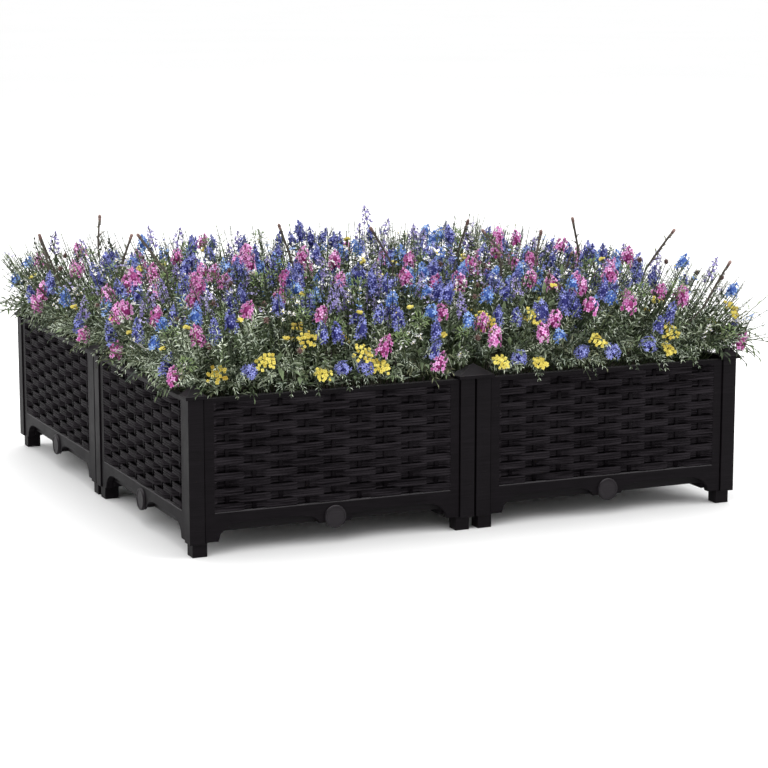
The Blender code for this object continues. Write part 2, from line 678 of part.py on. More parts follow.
def stem(points, radius, collection):
    """Stem as a thin curve with filled ends."""
    curve = bpy.data.curves.new("stem", "CURVE")
    curve.dimensions = "3D"
    curve.bevel_depth = radius
    curve.bevel_resolution = 0
    curve.use_fill_caps = True
    spline = curve.splines.new("POLY")
    spline.points.add(len(points) - 1)
    for index, (point, spot) in enumerate(zip(spline.points, points)):
        point.co = (*spot, 1)
        point.radius = 1.0 - 0.3 * index / (len(points) - 1)
    holder = bpy.data.objects.new("stem", curve)
    collection.objects.link(holder)
    graph = bpy.context.evaluated_depsgraph_get()
    mesh = bpy.data.meshes.new_from_object(holder.evaluated_get(graph))
    bpy.data.objects.remove(holder, do_unlink=True)
    bm = bmesh.new()
    bm.from_mesh(mesh)
    bpy.data.meshes.remove(mesh)
    bmesh.ops.remove_doubles(bm, verts=bm.verts, dist=1e-6)
    return mesh_object("stem", bm, collection)


def within(cell, spot, margin):
    """The spot, moved inside the cell's walls by the margin."""
    x_low, x_high, y_low, y_high = cell
    return Vector((min(max(spot.x, x_low + margin), x_high - margin),
                   min(max(spot.y, y_low + margin), y_high - margin), spot.z))


def clear_of_box(item):
    """True where nothing of the piece touches the walls or caps."""
    cap_half = POST / 2 + CAP_OVERHANG + CAP_MARGIN
    middle_half = cap_half + POST / 2 + MODULE_GAP
    post = EDGE - POST / 2
    spots = [vert.co for vert in item.data.vertices]
    for face in item.data.polygons:
        corners = [item.data.vertices[index].co for index in face.vertices]
        centre = sum(corners, Vector()) / len(corners)
        for corner, following in zip(corners, corners[1:] + corners[:1]):
            spots += [centre, (corner + centre) / 2, (corner + following) / 2]
            spots += [corner.lerp(following, 0.25), corner.lerp(following, 0.75)]
    for spot in spots:
        x, y, z = abs(spot.x), abs(spot.y), spot.z
        if max(x, y) > EDGE - PANEL_BACK - WALL_CLEAR and z < RIM_CLEAR:
            return False
        near_x = abs(x - post) < cap_half or x < middle_half
        near_y = abs(y - post) < cap_half or y < middle_half
        if z < CAP_CLEAR and near_x and near_y:
            return False
    return True


def raised(make, tip):
    """Make a piece towards the tip, lifting the tip until the piece clears the box."""
    for _ in range(RAISES):
        item = make(tip)
        if clear_of_box(item):
            return [item]
        bpy.data.objects.remove(item, do_unlink=True)
        tip = tip + Vector((0, 0, RAISE))
    return []


def crown_place(cell):
    """Where a plant stands: the middle of its cell's share of the soil."""
    soil = EDGE - PANEL_BACK - CROWN_INSET
    x_low, x_high = max(cell[0], -soil), min(cell[1], soil)
    y_low, y_high = max(cell[2], -soil), min(cell[3], soil)
    return (x_low + x_high) / 2, (y_low + y_high) / 2


def head_piece(kind, base, tip, radius, collection):
    shape = kind["head"]
    if shape == "umbel":
        return umbel(base, tip, radius, collection)
    if shape == "star":
        return star_flower(base, tip, radius, collection)
    if shape == "feather":
        return blade(base, tip, radius, 0.004, 3, collection)
    return flower_spike(base, tip, radius, 5, collection)


def bush(cell, x, y, lift, rng, collection):
    """Leafy mass of a clump: a low mound that fills its cell, with leaf tips all over it."""
    x_low, x_high, y_low, y_high = cell
    columns = BUSH_COLUMNS
    rings = len(BUSH_RINGS) - 1
    shakes = [[rng.uniform(-1, 1) for _ in range(columns)] for _ in range(rings + 1)]

    def place(ring, column):
        share, height = BUSH_RINGS[ring]
        angle = 2 * math.pi * (column + 0.25 * ring) / columns
        way_x, way_y = math.cos(angle), math.sin(angle)
        reach_x = (x_high - x if way_x > 0 else x - x_low) - CELL_GAP - 0.001
        reach_y = (y_high - y if way_y > 0 else y - y_low) - CELL_GAP - 0.001
        ellipse = (abs(way_x) ** 3.2 + abs(way_y) ** 3.2) ** (-1 / 3.2)
        tip = (ring + column) % 2
        share *= 1.0 if tip else BUSH_DENT
        if 0 < ring < rings:
            height += lift + 0.003 * shakes[ring][column] + (0.006 if tip and ring > 1 else 0.0)
        return Vector((x + reach_x * ellipse * way_x * share,
                       y + reach_y * ellipse * way_y * share, height))

    return lattice(columns, rings, place, collection)


def head_spots(cell, count, rng):
    """Even, slightly shaken places for the heads in a cell."""
    x_low, x_high, y_low, y_high = cell
    wide = x_high - x_low
    deep = y_high - y_low
    columns = 2 if wide < deep * 1.4 else 3
    rows = math.ceil(count / columns)
    spots = []
    for index in range(count):
        row = index // columns
        in_row = min(columns, count - row * columns)
        across = (index % columns + 0.5) / in_row
        up = (row + 0.5) / rows
        across += (0.10 if row % 2 else -0.06) * (in_row > 1) + rng.uniform(-0.05, 0.05)
        spots.append((x_low + wide * across, y_low + deep * (up + rng.uniform(-0.06, 0.06))))
    return spots


def main_body(item):
    """Drop loose scraps and the walls of sealed hollows, so that one body is left."""
    bm = bmesh.new()
    bm.from_mesh(item.data)
    left = set(bm.faces)
    islands = []
    while left:
        stack = [left.pop()]
        island = list(stack)
        while stack:
            for edge in stack.pop().edges:
                for face in edge.link_faces:
                    if face in left:
                        left.remove(face)
                        stack.append(face)
                        island.append(face)
        islands.append(island)
    islands.sort(key=len)
    for island in islands[:-1]:
        bmesh.ops.delete(bm, geom=island, context="FACES")
    bm.to_mesh(item.data)
    bm.free()


def plant(name, kind, cell, cutters, rng):
    """One clump: a crown in its hole, a leafy bush, and heads and leaves standing out of it."""
    x, y = crown_place(cell)
    bm = bmesh.new()
    depth = CROWN_TOP - CROWN_LOW - FIT
    place = Matrix.Translation((x, y, CROWN_LOW + FIT + depth / 2))
    bmesh.ops.create_cone(bm, cap_ends=True, segments=CROWN_SIDES, radius1=CROWN_RADIUS,
                          radius2=CROWN_RADIUS, depth=depth, matrix=place)
    crown = mesh_object(name, bm, cutters)
    pieces = []
    for lift in LIFTS:
        mass = bush(cell, x, y, lift, random.Random(SEED), cutters)
        if clear_of_box(mass):
            pieces.append(mass)
            break
        bpy.data.objects.remove(mass, do_unlink=True)
    radius = kind["radius"]
    for spot_x, spot_y in head_spots(cell, kind["heads"], rng):
        length = rng.uniform(*kind["length"])
        away = Vector((spot_x - x, spot_y - y, 0))
        tip = Vector((spot_x, spot_y, rng.uniform(*kind["tip"]))) + away * rng.uniform(*HEAD_LEAN)
        tip = within(cell, tip, radius + CELL_GAP)
        axis = (away * HEAD_FAN + Vector((0, 0, 1))).normalized()
        base = within(cell, tip - axis * length, radius + CELL_GAP)
        head = head_piece(kind, base, tip, radius, cutters)
        root = Vector((x, y, BUSH_MIDDLE)) + (base - Vector((x, y, base.z))) * STEM_ROOT
        way = (base - root).normalized()
        pieces += [head, stem([root, base + way * 0.15 * length], STEM_RADIUS, cutters)]
    middle = Vector((x, y, BUSH_MIDDLE))
    for index in range(LOW_LEAVES + HIGH_LEAVES):
        low = index < LOW_LEAVES
        count = LOW_LEAVES if low else HIGH_LEAVES
        angle = 2 * math.pi * (index + 0.5 * (not low) + rng.uniform(-0.2, 0.2)) / count
        far = Vector((math.cos(angle), math.sin(angle), 0))
        root = middle + far * LEAF_ROOT
        shape = LOW_LEAF if low else HIGH_LEAF
        end = within(cell, root + far * (REACH if low else rng.uniform(*HIGH_LEAF["reach"])), LEAF_MARGIN)
        end = Vector((end.x, end.y, rng.uniform(*shape["tip"])))
        teeth = 2 if index in (0, 3) else 0
        width = CUT_WIDTH if teeth else PLAIN_WIDTH
        pieces += raised(lambda goal: blade(root, goal, width, shape["arch"], teeth, cutters), end)
    combine(crown, pieces, "UNION")
    main_body(crown)
    return crown


def planting_cells():
    """Every planted cell with its kind, row by row from the front."""
    cells = []
    for row, (columns, kinds) in enumerate(PLANTING):
        for column, kind in enumerate(kinds):
            cells.append(((columns[column], columns[column + 1], ROWS[row], ROWS[row + 1]), kind))
    return cells


def build():
    parts, cutters = fresh_collections()
    black = make_material("black_plastic", (0.022, 0.021, 0.020), 0.45)
    inner_black = make_material("tray_plastic", (0.016, 0.016, 0.016), 0.55)
    soil_brown = make_material("soil", (0.060, 0.040, 0.026), 0.95)

    turns = ("front_left", "front_right", "back_right", "back_left")
    sides = ("front", "right", "back", "left")
    post = finish(corner_post(cutters), parts, black)
    quarter_turns(post, ["corner_post_" + turn for turn in turns], parts)
    post = finish(middle_post(cutters), parts, black)
    quarter_turns(post, ["middle_post_" + side for side in sides], parts)
    post = finish(centre_post(cutters), parts, black)
    post.name = "centre_post"

    e = -EDGE
    spigot = e + POST / 2 - SPIGOT_SHIFT
    low = e - CAP_OVERHANG
    high = e + POST + CAP_OVERHANG
    wide = MODULE_GAP / 2 + POST + CAP_OVERHANG
    item = cap("cap", (low, low), (high, high), [(spigot, spigot)], SPIGOT, cutters)
    quarter_turns(finish(item, parts, black), ["corner_cap_" + turn for turn in turns], parts)
    pins = [(way * (MODULE_GAP / 2 + POST / 2 - SPIGOT_SHIFT), spigot) for way in (-1, 1)]
    item = cap("cap", (-wide, low), (wide, high), pins, SPIGOT, cutters)
    quarter_turns(finish(item, parts, black), ["middle_cap_" + side for side in sides], parts)
    item = cap("cap", (-wide, -wide), (wide, wide), [(0, 0)], SPIGOT * 2, cutters)
    finish(item, parts, black).name = "centre_cap"

    for side, word in ((-1, "a"), (1, "b")):
        item = finish(front_panel(side, cutters), parts, black)
        quarter_turns(item, ["panel_" + name + "_" + word for name in sides], parts)
    item = finish(divider(cutters), parts, inner_black)
    quarter_turns(item, ["divider_" + side for side in sides], parts)
    item = finish(tray(cutters), parts, inner_black)
    quarter_turns(item, ["tray_" + turn for turn in turns], parts)

    cells = planting_cells()
    crowns = [crown_place(cell) for cell, _ in cells]
    for side_x, side_y, word in ((-1, -1, "front_left"), (1, -1, "front_right"),
                                 (1, 1, "back_right"), (-1, 1, "back_left")):
        item = finish(soil_block(side_x, side_y, crowns, cutters), parts, soil_brown)
        item.name = "soil_" + word

    colours = {name: make_material(name, kind["color"], 0.75) for name, kind in KINDS.items()}
    counts = {}
    for index, (cell, name) in enumerate(cells):
        counts[name] = counts.get(name, 0) + 1
        rng = random.Random(SEED + index)
        item = plant(name, KINDS[name], cell, cutters, rng)
        finish(item, parts, colours[name])
        item.name = name + "_" + str(counts[name])


build()
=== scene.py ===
import math
import random

import bmesh
import bpy
import numpy as np
from mathutils import Matrix, Vector


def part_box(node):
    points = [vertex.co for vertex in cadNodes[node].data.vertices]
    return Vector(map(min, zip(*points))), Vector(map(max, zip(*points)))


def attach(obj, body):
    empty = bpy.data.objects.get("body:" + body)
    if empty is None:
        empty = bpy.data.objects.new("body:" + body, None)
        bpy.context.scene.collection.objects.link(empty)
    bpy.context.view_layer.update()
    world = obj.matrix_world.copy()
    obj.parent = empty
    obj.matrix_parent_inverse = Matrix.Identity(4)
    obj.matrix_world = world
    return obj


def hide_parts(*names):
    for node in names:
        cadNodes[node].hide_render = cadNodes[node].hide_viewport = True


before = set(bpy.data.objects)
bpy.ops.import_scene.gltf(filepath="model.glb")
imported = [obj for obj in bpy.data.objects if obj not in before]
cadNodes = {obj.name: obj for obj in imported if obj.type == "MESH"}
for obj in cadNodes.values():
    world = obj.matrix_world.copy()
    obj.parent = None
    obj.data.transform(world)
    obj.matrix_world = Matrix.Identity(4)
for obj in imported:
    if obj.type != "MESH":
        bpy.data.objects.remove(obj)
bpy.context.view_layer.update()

# The bed's measures in metres, the same as in its solids
bed = dict(edge=0.4015, gap=0.003, wallTop=0.2046, post=0.0205, panelFront=0.002, stileEnd=0.035,
           railTop=0.0562, topRail=0.006, soilTop=0.190, bossRadius=0.0147, bossHeight=0.037, reach=0.4365)
upward = Vector((0, 0, 1))
rootHeight = bed["soilTop"] - 0.006
quarterTurn = math.pi / 2
goldenTurn = 2.39996  # from one floret to the next
anyTurn = (0, 6.28)


# One socket of a material. Sums and products of wires add the Math nodes that they need.
class Wire:
    def __init__(self, socket):
        self.socket = socket

    def maths(self, operation, first, second):
        tree = self.socket.id_data
        return addNode(tree, "ShaderNodeMath", dict(operation=operation), {0: first, 1: second})

    def __add__(self, other):
        return self.maths("ADD", self, other)

    def __radd__(self, other):
        return self.maths("ADD", other, self)

    def __sub__(self, other):
        return self.maths("SUBTRACT", self, other)

    def __rsub__(self, other):
        return self.maths("SUBTRACT", other, self)

    def __mul__(self, other):
        return self.maths("MULTIPLY", self, other)

    def __rmul__(self, other):
        return self.maths("MULTIPLY", other, self)


# A node of any kind: first its settings, then values or wires for its sockets
def addNode(tree, kind, settings=None, values=None, output=0):
    node = tree.nodes.new(kind)
    for name, value in (settings or {}).items():
        setattr(node, name, value)
    for place, value in (values or {}).items():
        socket = node.inputs[place]
        if isinstance(value, Wire):
            tree.links.new(value.socket, socket)
        elif isinstance(value, tuple) and len(value) == 3 and socket.type == "RGBA":
            socket.default_value = (*value, 1.0)
        else:
            socket.default_value = value
    return Wire(node.outputs[output])


# A material with its own nodes; constants go straight onto the shader's sockets
class Finish:
    def __init__(self, name, constants):
        self.material = bpy.data.materials.new(name)
        self.material.use_nodes = True
        self.tree = self.material.node_tree
        self.shader = self.tree.nodes["Principled BSDF"]
        for socket, value in constants.items():
            self.shader.inputs[socket].default_value = value

    def node(self, kind, settings=None, values=None, output=0):
        return addNode(self.tree, kind, settings, values, output)

    def noise(self, scale, detail, stretch=(1, 1, 1)):
        place = self.node("ShaderNodeTexCoord", output="Object")
        place = self.node("ShaderNodeMapping", {}, {"Vector": place, "Scale": stretch})
        return self.node("ShaderNodeTexNoise", {}, {"Vector": place, "Scale": scale, "Detail": detail}, "Fac")

    def narrow(self, value, low, high):
        return self.node("ShaderNodeMapRange", {}, {0: value, 1: low, 2: high, 3: 0.0, 4: 1.0})

    def blend(self, share, first, second):
        return self.node("ShaderNodeMix", dict(data_type="RGBA"), {0: share, 6: first, 7: second}, 2)

    def wear(self, color, rough=None, height=None, strength=0.5, depth=0.0005):
        bump = height and self.node("ShaderNodeBump", {},
                                    {"Strength": strength, "Distance": depth, "Height": height})
        for name, wire in {"Base Color": color, "Roughness": rough, "Normal": bump}.items():
            if wire:
                self.tree.links.new(wire.socket, self.shader.inputs[name])
        return self.material


# Moulded black plastic: fine level striations, and what faces up made lighter: painted top light mixed with a
# little dusting
def blackPlastic(name, dark, light, gloss, lineDepth):
    finish = Finish(name, {"Specular IOR Level": gloss})
    lines = finish.noise(1.0, 3.0, (24, 24, 1500))
    mottle = finish.noise(34.0, 4.0)
    grain = finish.noise(900.0, 2.0)
    tone = finish.blend(finish.narrow(lines * 0.75 + mottle * 0.25, 0.35, 0.65), dark, light)
    normal = finish.node("ShaderNodeNewGeometry", output="Normal")
    facing = finish.node("ShaderNodeSeparateXYZ", {}, {0: normal}, "Z")
    # painted light: faces that point up are lightened, broken up by the mottle, for the light from above as
    # well as a little dusting
    dustAndPaintedTopLight = finish.narrow(facing, 0.45, 0.90) * (mottle * 0.6 + 0.40)
    tone = finish.blend(dustAndPaintedTopLight, tone, tuple(part * 2.4 + 0.040 for part in light))
    rough = mottle * 0.22 + grain * 0.08 + 0.33
    return finish.wear(tone, rough, lines * 0.8 + grain * 0.2, 0.55, lineDepth)


# Woven-look strand: each has its own tone, with fibres along it
def strandPlastic(name, dark, light, gloss):
    finish = Finish(name, {"Specular IOR Level": gloss})
    fibres = finish.noise(1.0, 3.0, (24, 24, 760))
    drift = finish.noise(1.0, 1.0, (14, 14, 98))
    grain = finish.noise(620.0, 3.0)
    share = finish.narrow(fibres * 0.62 + drift * 0.22 + grain * 0.16, 0.41, 0.61)
    rough = grain * 0.14 + drift * 0.16 + 0.34
    return finish.wear(finish.blend(share, dark, light), rough, fibres * 0.7 + grain * 0.3, 0.6, 0.0008)


# Dark soil with a few pale specks
def soilFinish():
    finish = Finish("pottingSoil", {"Specular IOR Level": 0.2})
    clods = finish.noise(140.0, 6.0)
    specks = finish.noise(1500.0, 2.0)
    tone = finish.blend(finish.narrow(clods, 0.35, 0.68), (0.005, 0.004, 0.003), (0.030, 0.021, 0.014))
    tone = finish.blend(finish.narrow(specks, 0.66, 0.74), tone, (0.10, 0.08, 0.06))
    return finish.wear(tone, clods * 0.2 + 0.75, clods * 0.7 + specks * 0.3, 0.8, 0.002)


# Leaves, petals and stems: every copy carries how far out a corner is, its own chance and its height
def plantFinish(name, deep, middle, pale, eye=None, gloss=0.25, rough=0.5):
    finish = Finish(name, {"Specular IOR Level": gloss})
    growth = finish.node("ShaderNodeAttribute", dict(attribute_name="growth"), {}, "Color")
    outness, chance, rise = (finish.node("ShaderNodeSeparateColor", {}, {0: growth}, part)
                             for part in range(3))
    mottle = finish.noise(420.0, 3.0)
    tone = finish.blend(chance * 0.8 + mottle * 0.2, deep, middle)
    # painted highlight: corners far out on a shape (petal rims, leaf tips, bud tops) and copies high up a
    # stem take more of the pale tone; each copy's own chance and the mottle add real tone
    light = outness * 0.45 + rise * 0.22 + chance * 0.38 + mottle * 0.2
    tone = finish.blend(finish.narrow(light, 0.45, 1.12), tone, pale)
    if eye:
        tone = finish.blend(1 - finish.narrow(outness, 0.05, 0.28), tone, eye)
    return finish.wear(tone, mottle * 0.2 + rough, mottle, 0.25, 0.0006)


def plasticLook(dark, light, gloss, lineDepth):
    return dict(dark=dark, light=light, gloss=gloss, lineDepth=lineDepth)


plasticLooks = {
    "plasticPost": plasticLook((0.0024, 0.0018, 0.0024), (0.0066, 0.0052, 0.0066), 0.06, 0.00035),
    "plasticPanel": plasticLook((0.0024, 0.0018, 0.0024), (0.0064, 0.0050, 0.0064), 0.05, 0.00030),
    "plasticBoss": plasticLook((0.0130, 0.0110, 0.0130), (0.0200, 0.0175, 0.0200), 0.10, 0.00015),
    # painted highlight: the bead's tones are several times lighter than the panel's, for the light on the
    # weave's lower edge
    "plasticBeadPaintedHighlight": plasticLook((0.0110, 0.0095, 0.0110), (0.0240, 0.0215, 0.0240), 0.20, 0.00010),
    "plasticTray": plasticLook((0.0030, 0.0025, 0.0030), (0.0075, 0.0064, 0.0075), 0.08, 0.00020),
}
strandLooks = {
    "wovenStrand": dict(dark=(0.0042, 0.0034, 0.0042), light=(0.0200, 0.0172, 0.0200), gloss=0.015),
    "wovenStake": dict(dark=(0.0024, 0.0018, 0.0024), light=(0.0070, 0.0056, 0.0070), gloss=0.04),
}
plantLooks = {
    "petalBlue": dict(deep=(0.016, 0.017, 0.120), middle=(0.087, 0.097, 0.420), pale=(0.390, 0.430, 0.840),
                      eye=(0.55, 0.57, 0.85)),
    "petalSky": dict(deep=(0.035, 0.085, 0.34), middle=(0.10, 0.24, 0.62), pale=(0.40, 0.56, 0.86),
                     eye=(0.70, 0.70, 0.56)),
    "petalPink": dict(deep=(0.22, 0.012, 0.11), middle=(0.74, 0.19, 0.61), pale=(0.97, 0.68, 0.93),
                      eye=(0.30, 0.03, 0.10)),
    "petalLavender": dict(deep=(0.10, 0.08, 0.26), middle=(0.25, 0.21, 0.48), pale=(0.58, 0.53, 0.78)),
    "petalWhite": dict(deep=(0.50, 0.50, 0.56), middle=(0.78, 0.78, 0.77), pale=(0.93, 0.93, 0.92),
                       eye=(0.76, 0.70, 0.30)),
    # painted shade: the darker eye in the middle of each button stands for the shade in its dimple
    "yarrowButton": dict(deep=(0.22, 0.120, 0.004), middle=(0.56, 0.43, 0.026), pale=(0.90, 0.82, 0.22),
                         eye=(0.40, 0.26, 0.01)),
    "leafGreen": dict(deep=(0.012, 0.021, 0.010), middle=(0.050, 0.080, 0.036), pale=(0.250, 0.320, 0.170),
                      gloss=0.35, rough=0.42),
    "leafGrey": dict(deep=(0.030, 0.044, 0.031), middle=(0.120, 0.158, 0.112),
                     pale=(0.62, 0.69, 0.50), gloss=0.3),
    "leafPale": dict(deep=(0.300, 0.370, 0.290), middle=(0.560, 0.640, 0.520),
                     pale=(0.90, 0.94, 0.80), gloss=0.3),
    "leafOlive": dict(deep=(0.020, 0.025, 0.011), middle=(0.080, 0.092, 0.044), pale=(0.330, 0.350, 0.210),
                      gloss=0.35, rough=0.42),
    "leafFresh": dict(deep=(0.040, 0.072, 0.022), middle=(0.150, 0.230, 0.078), pale=(0.420, 0.540, 0.250),
                      gloss=0.3),
    "stemGreen": dict(deep=(0.014, 0.022, 0.010), middle=(0.045, 0.062, 0.026), pale=(0.120, 0.145, 0.070)),
    "twigBrown": dict(deep=(0.030, 0.025, 0.019), middle=(0.085, 0.072, 0.058), pale=(0.200, 0.172, 0.140)),
    "seedBrown": dict(deep=(0.070, 0.036, 0.030), middle=(0.170, 0.100, 0.088), pale=(0.36, 0.25, 0.22)),
    "budDark": dict(deep=(0.008, 0.010, 0.006), middle=(0.022, 0.028, 0.016), pale=(0.070, 0.080, 0.050)),
}
finishes = {name: blackPlastic(name, **look) for name, look in plasticLooks.items()}
finishes.update({name: strandPlastic(name, **look) for name, look in strandLooks.items()})
finishes.update({name: plantFinish(name, **look) for name, look in plantLooks.items()})
finishes["pottingSoil"] = soilFinish()
print("materials:", len(bpy.data.materials))


def toMesh(name, bm):
    mesh = bpy.data.meshes.new(name)
    bm.to_mesh(mesh)
    bm.free()
    return mesh


def placePiece(name, mesh, materials):
    for material in materials:
        mesh.materials.append(material)
    piece = bpy.data.objects.new(name, mesh)
    bpy.context.scene.collection.objects.link(piece)
    return piece


# A piece that stands for a node of the solids
def fit(name, mesh, looks, slotName, node):
    piece = placePiece(name, mesh, [finishes[look] for look in looks])
    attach(piece, "root")
    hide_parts(node)


def roundOff(bm, edges, offset):
    bmesh.ops.bevel(bm, geom=edges, offset=offset, offset_type="OFFSET", segments=2, profile=0.5,
                    affect="EDGES", clamp_overlap=True, material=-1)


def paint(bm, index, smooth):
    for face in bm.faces:
        face.material_index = index
        face.smooth = smooth


# A copy of a solid with its corners merged, some of them moved, and its flat faces whole
def mergedCopy(node, move=None):
    bm = bmesh.new()
    bm.from_mesh(cadNodes[node].data)
    bmesh.ops.remove_doubles(bm, verts=bm.verts, dist=2e-6)
    if move:
        for vert in bm.verts:
            move(vert)
    bmesh.ops.dissolve_limit(bm, angle_limit=math.radians(1.0), verts=bm.verts, edges=bm.edges)
    return bm


def sharpEdges(bm, angle):
    limit = math.radians(angle)
    return [edge for edge in bm.edges if len(edge.link_faces) == 2 and edge.calc_face_angle() > limit]


# Posts and caps get rounded edges; dividers and trays stay, in a better material
def dressFrame():
    offsets = {"cap": 0.0007, "post": 0.0008}
    for node in sorted(cadNodes):
        style = next((word for word in offsets if word in node.split("_")), None)
        if style:
            bm = mergedCopy(node)
            roundOff(bm, sharpEdges(bm, 25), offsets[style])
            bmesh.ops.recalc_face_normals(bm, faces=bm.faces)
            paint(bm, 0, False)
            name = "rounded." + node
            fit(name, toMesh(name, bm), ["plasticPost"], "black_plastic", node)
        elif node.startswith(("divider", "tray")):
            cadNodes[node].data.materials.clear()
            cadNodes[node].data.materials.append(finishes["plasticTray"])


dressFrame()
print("posts, caps and trays done")

# Rings along a strand, in columns: over one stake, then behind the next
weave = dict(columns=9, rows=14, plateDepth=0.0088, over=0.0010, under=0.0072, sag=0.0005,
             strandHeight=0.0099, strandHalf=0.0011, lift=0.0008,
             rings=((0.25, 0.2), (0.50, 0.0), (0.75, 0.2), (1.05, 1.0), (1.17, 7.0), (1.50, 6.6), (1.83, 7.0),
                    (1.95, 1.0)),
             section=((-1.0, 0.7), (-0.97, -0.5), (-0.80, -1.0), (-0.47, -0.95), (-0.33, 0.20),
                      (-0.19, -0.95), (0.19, -0.95), (0.33, 0.20), (0.47, -0.95), (0.80, -1.0),
                      (0.97, -0.5), (1.0, 0.7)),
             stakeWidth=0.0058, stakeDepth=(0.0036, 0.0060), tuck=0.0012)
# The woven field of the front left wall
front = -bed["edge"] + bed["panelFront"]
fieldLow, fieldHigh = -bed["edge"] + bed["stileEnd"], -bed["gap"] / 2 - bed["stileEnd"]
fieldBottom, fieldTop = bed["railTop"], bed["wallTop"] - bed["topRail"]
fieldMiddle = (fieldLow + fieldHigh) / 2
columnWidth = (fieldHigh - fieldLow) / weave["columns"]


# One strand: a ribbed ribbon that passes in front of every second stake and behind the others
def strand(bm, phase, z):
    deepest = weave["under"] - weave["over"]
    rings = []
    for period in range(-1, weave["columns"] // 2 + 2):
        for place, sink in weave["rings"]:
            along = 2 * period + place + phase
            if 0 < along < weave["columns"]:
                rings.append((along, sink))
    past = weave["tuck"] / columnWidth
    rings = [(-past, rings[0][1])] + rings + [(weave["columns"] + past, rings[-1][1])]
    around = len(weave["section"])
    grid = bmesh.ops.create_grid(bm, x_segments=len(rings) - 1, y_segments=around, size=1.0)
    for vert in grid["verts"]:
        along, sink = rings[round((vert.co.x + 1) / 2 * (len(rings) - 1))]
        rise, out = weave["section"][round((vert.co.y + 1) / 2 * around) % around]
        depth = weave["over"] + (weave["sag"] * sink if sink <= 1.0 else deepest * sink / 7.0)
        vert.co = (fieldLow + along * columnWidth, front + depth + out * weave["strandHalf"],
                   z + rise * weave["strandHeight"] / 2)
    bmesh.ops.remove_doubles(bm, verts=grid["verts"], dist=1e-7)
    bmesh.ops.holes_fill(bm, edges=[edge for edge in bm.edges if edge.is_boundary], sides=around)


# The panel's own frame, its woven field sunk to a flat back plate
def panelFrame():
    margin = 0.0002

    def sink(vert):
        x, y, z = vert.co
        inField = fieldLow - margin < x < fieldHigh + margin and fieldBottom - margin < z < fieldTop + margin
        if inField and front + margin < y < front + 0.0050:
            vert.co.y = front + weave["plateDepth"]

    bm = mergedCopy("panel_front_a", sink)
    sharp = []
    for edge in sharpEdges(bm, 30):
        spot = (edge.verts[0].co + edge.verts[1].co) / 2
        fromBoss = math.hypot(spot.x - fieldMiddle, spot.z - bed["bossHeight"])
        if spot.y < front + 0.0009 and fromBoss >= bed["bossRadius"] + 0.004:
            sharp.append(edge)
    roundOff(bm, sharp, 0.0007)
    bmesh.ops.recalc_face_normals(bm, faces=bm.faces)
    for face in bm.faces:
        face.material_index = 0
    return bm


def allStrands():
    bm = bmesh.new()
    pitch = (fieldTop - fieldBottom - weave["lift"]) / weave["rows"]
    for row in range(weave["rows"]):
        strand(bm, row % 2, fieldBottom + weave["lift"] + (row + 0.5) * pitch)
    bmesh.ops.recalc_face_normals(bm, faces=bm.faces)
    paint(bm, 1, True)
    return bm


def allStakes():
    bm = bmesh.new()
    near, far = weave["stakeDepth"]
    height = fieldTop - fieldBottom + 2 * weave["tuck"]
    for column in range(weave["columns"]):
        x = fieldLow + (column + 0.5) * columnWidth
        place = Matrix.Translation((x, front + (near + far) / 2, (fieldBottom + fieldTop) / 2))
        place = place @ Matrix.Diagonal((weave["stakeWidth"], far - near, height, 1))
        made = bmesh.ops.create_cube(bm, size=1.0, matrix=place)
        edges = {edge for vert in made["verts"] for edge in vert.link_edges
                 if abs(edge.verts[0].co.z - edge.verts[1].co.z) > 0.1}
        roundOff(bm, list(edges), 0.0011)
    paint(bm, 2, True)
    return bm


# A thin bead along the lower edge of the weave, coloured lighter than the panel: a painted highlight where
# that edge catches the light
def lowerBead():
    bm = bmesh.new()
    place = Matrix.Translation((fieldMiddle, front + 0.0022, fieldBottom - 0.0002))
    place = place @ Matrix.Diagonal((fieldHigh - fieldLow + 0.001, 0.0054, 0.0013, 1))
    bmesh.ops.create_cube(bm, size=1.0, matrix=place)
    roundOff(bm, bm.edges[:], 0.0005)
    paint(bm, 4, False)
    return bm


# The round boss: a flat disc inside a fine raised ring, as shares of its radius and depths behind its face
bossProfile = ((0.0, 0.0005), (0.50, 0.0005), (0.78, 0.0006), (0.83, 0.0002), (0.87, 0.0), (0.93, 0.0),
               (0.98, 0.0004), (1.0, 0.0011), (1.0, 0.0040))


def roundBoss():
    bm = bmesh.new()
    radius = bed["bossRadius"] + 0.0002
    face = front - 0.0032
    line = [bm.verts.new((fieldMiddle + radius * out, face + back, bed["bossHeight"]))
            for out, back in bossProfile]
    links = [bm.edges.new(pair) for pair in zip(line, line[1:])]
    bmesh.ops.spin(bm, geom=line + links, cent=(fieldMiddle, 0, bed["bossHeight"]), axis=(0, 1, 0),
                   angle=2 * math.pi, steps=48, use_merge=True)
    bmesh.ops.remove_doubles(bm, verts=bm.verts, dist=1e-6)
    bmesh.ops.holes_fill(bm, edges=[edge for edge in bm.edges if edge.is_boundary], sides=60)
    bmesh.ops.recalc_face_normals(bm, faces=bm.faces)
    for part in bm.faces:
        part.material_index = 3
        part.smooth = len(part.verts) < 5
    return bm


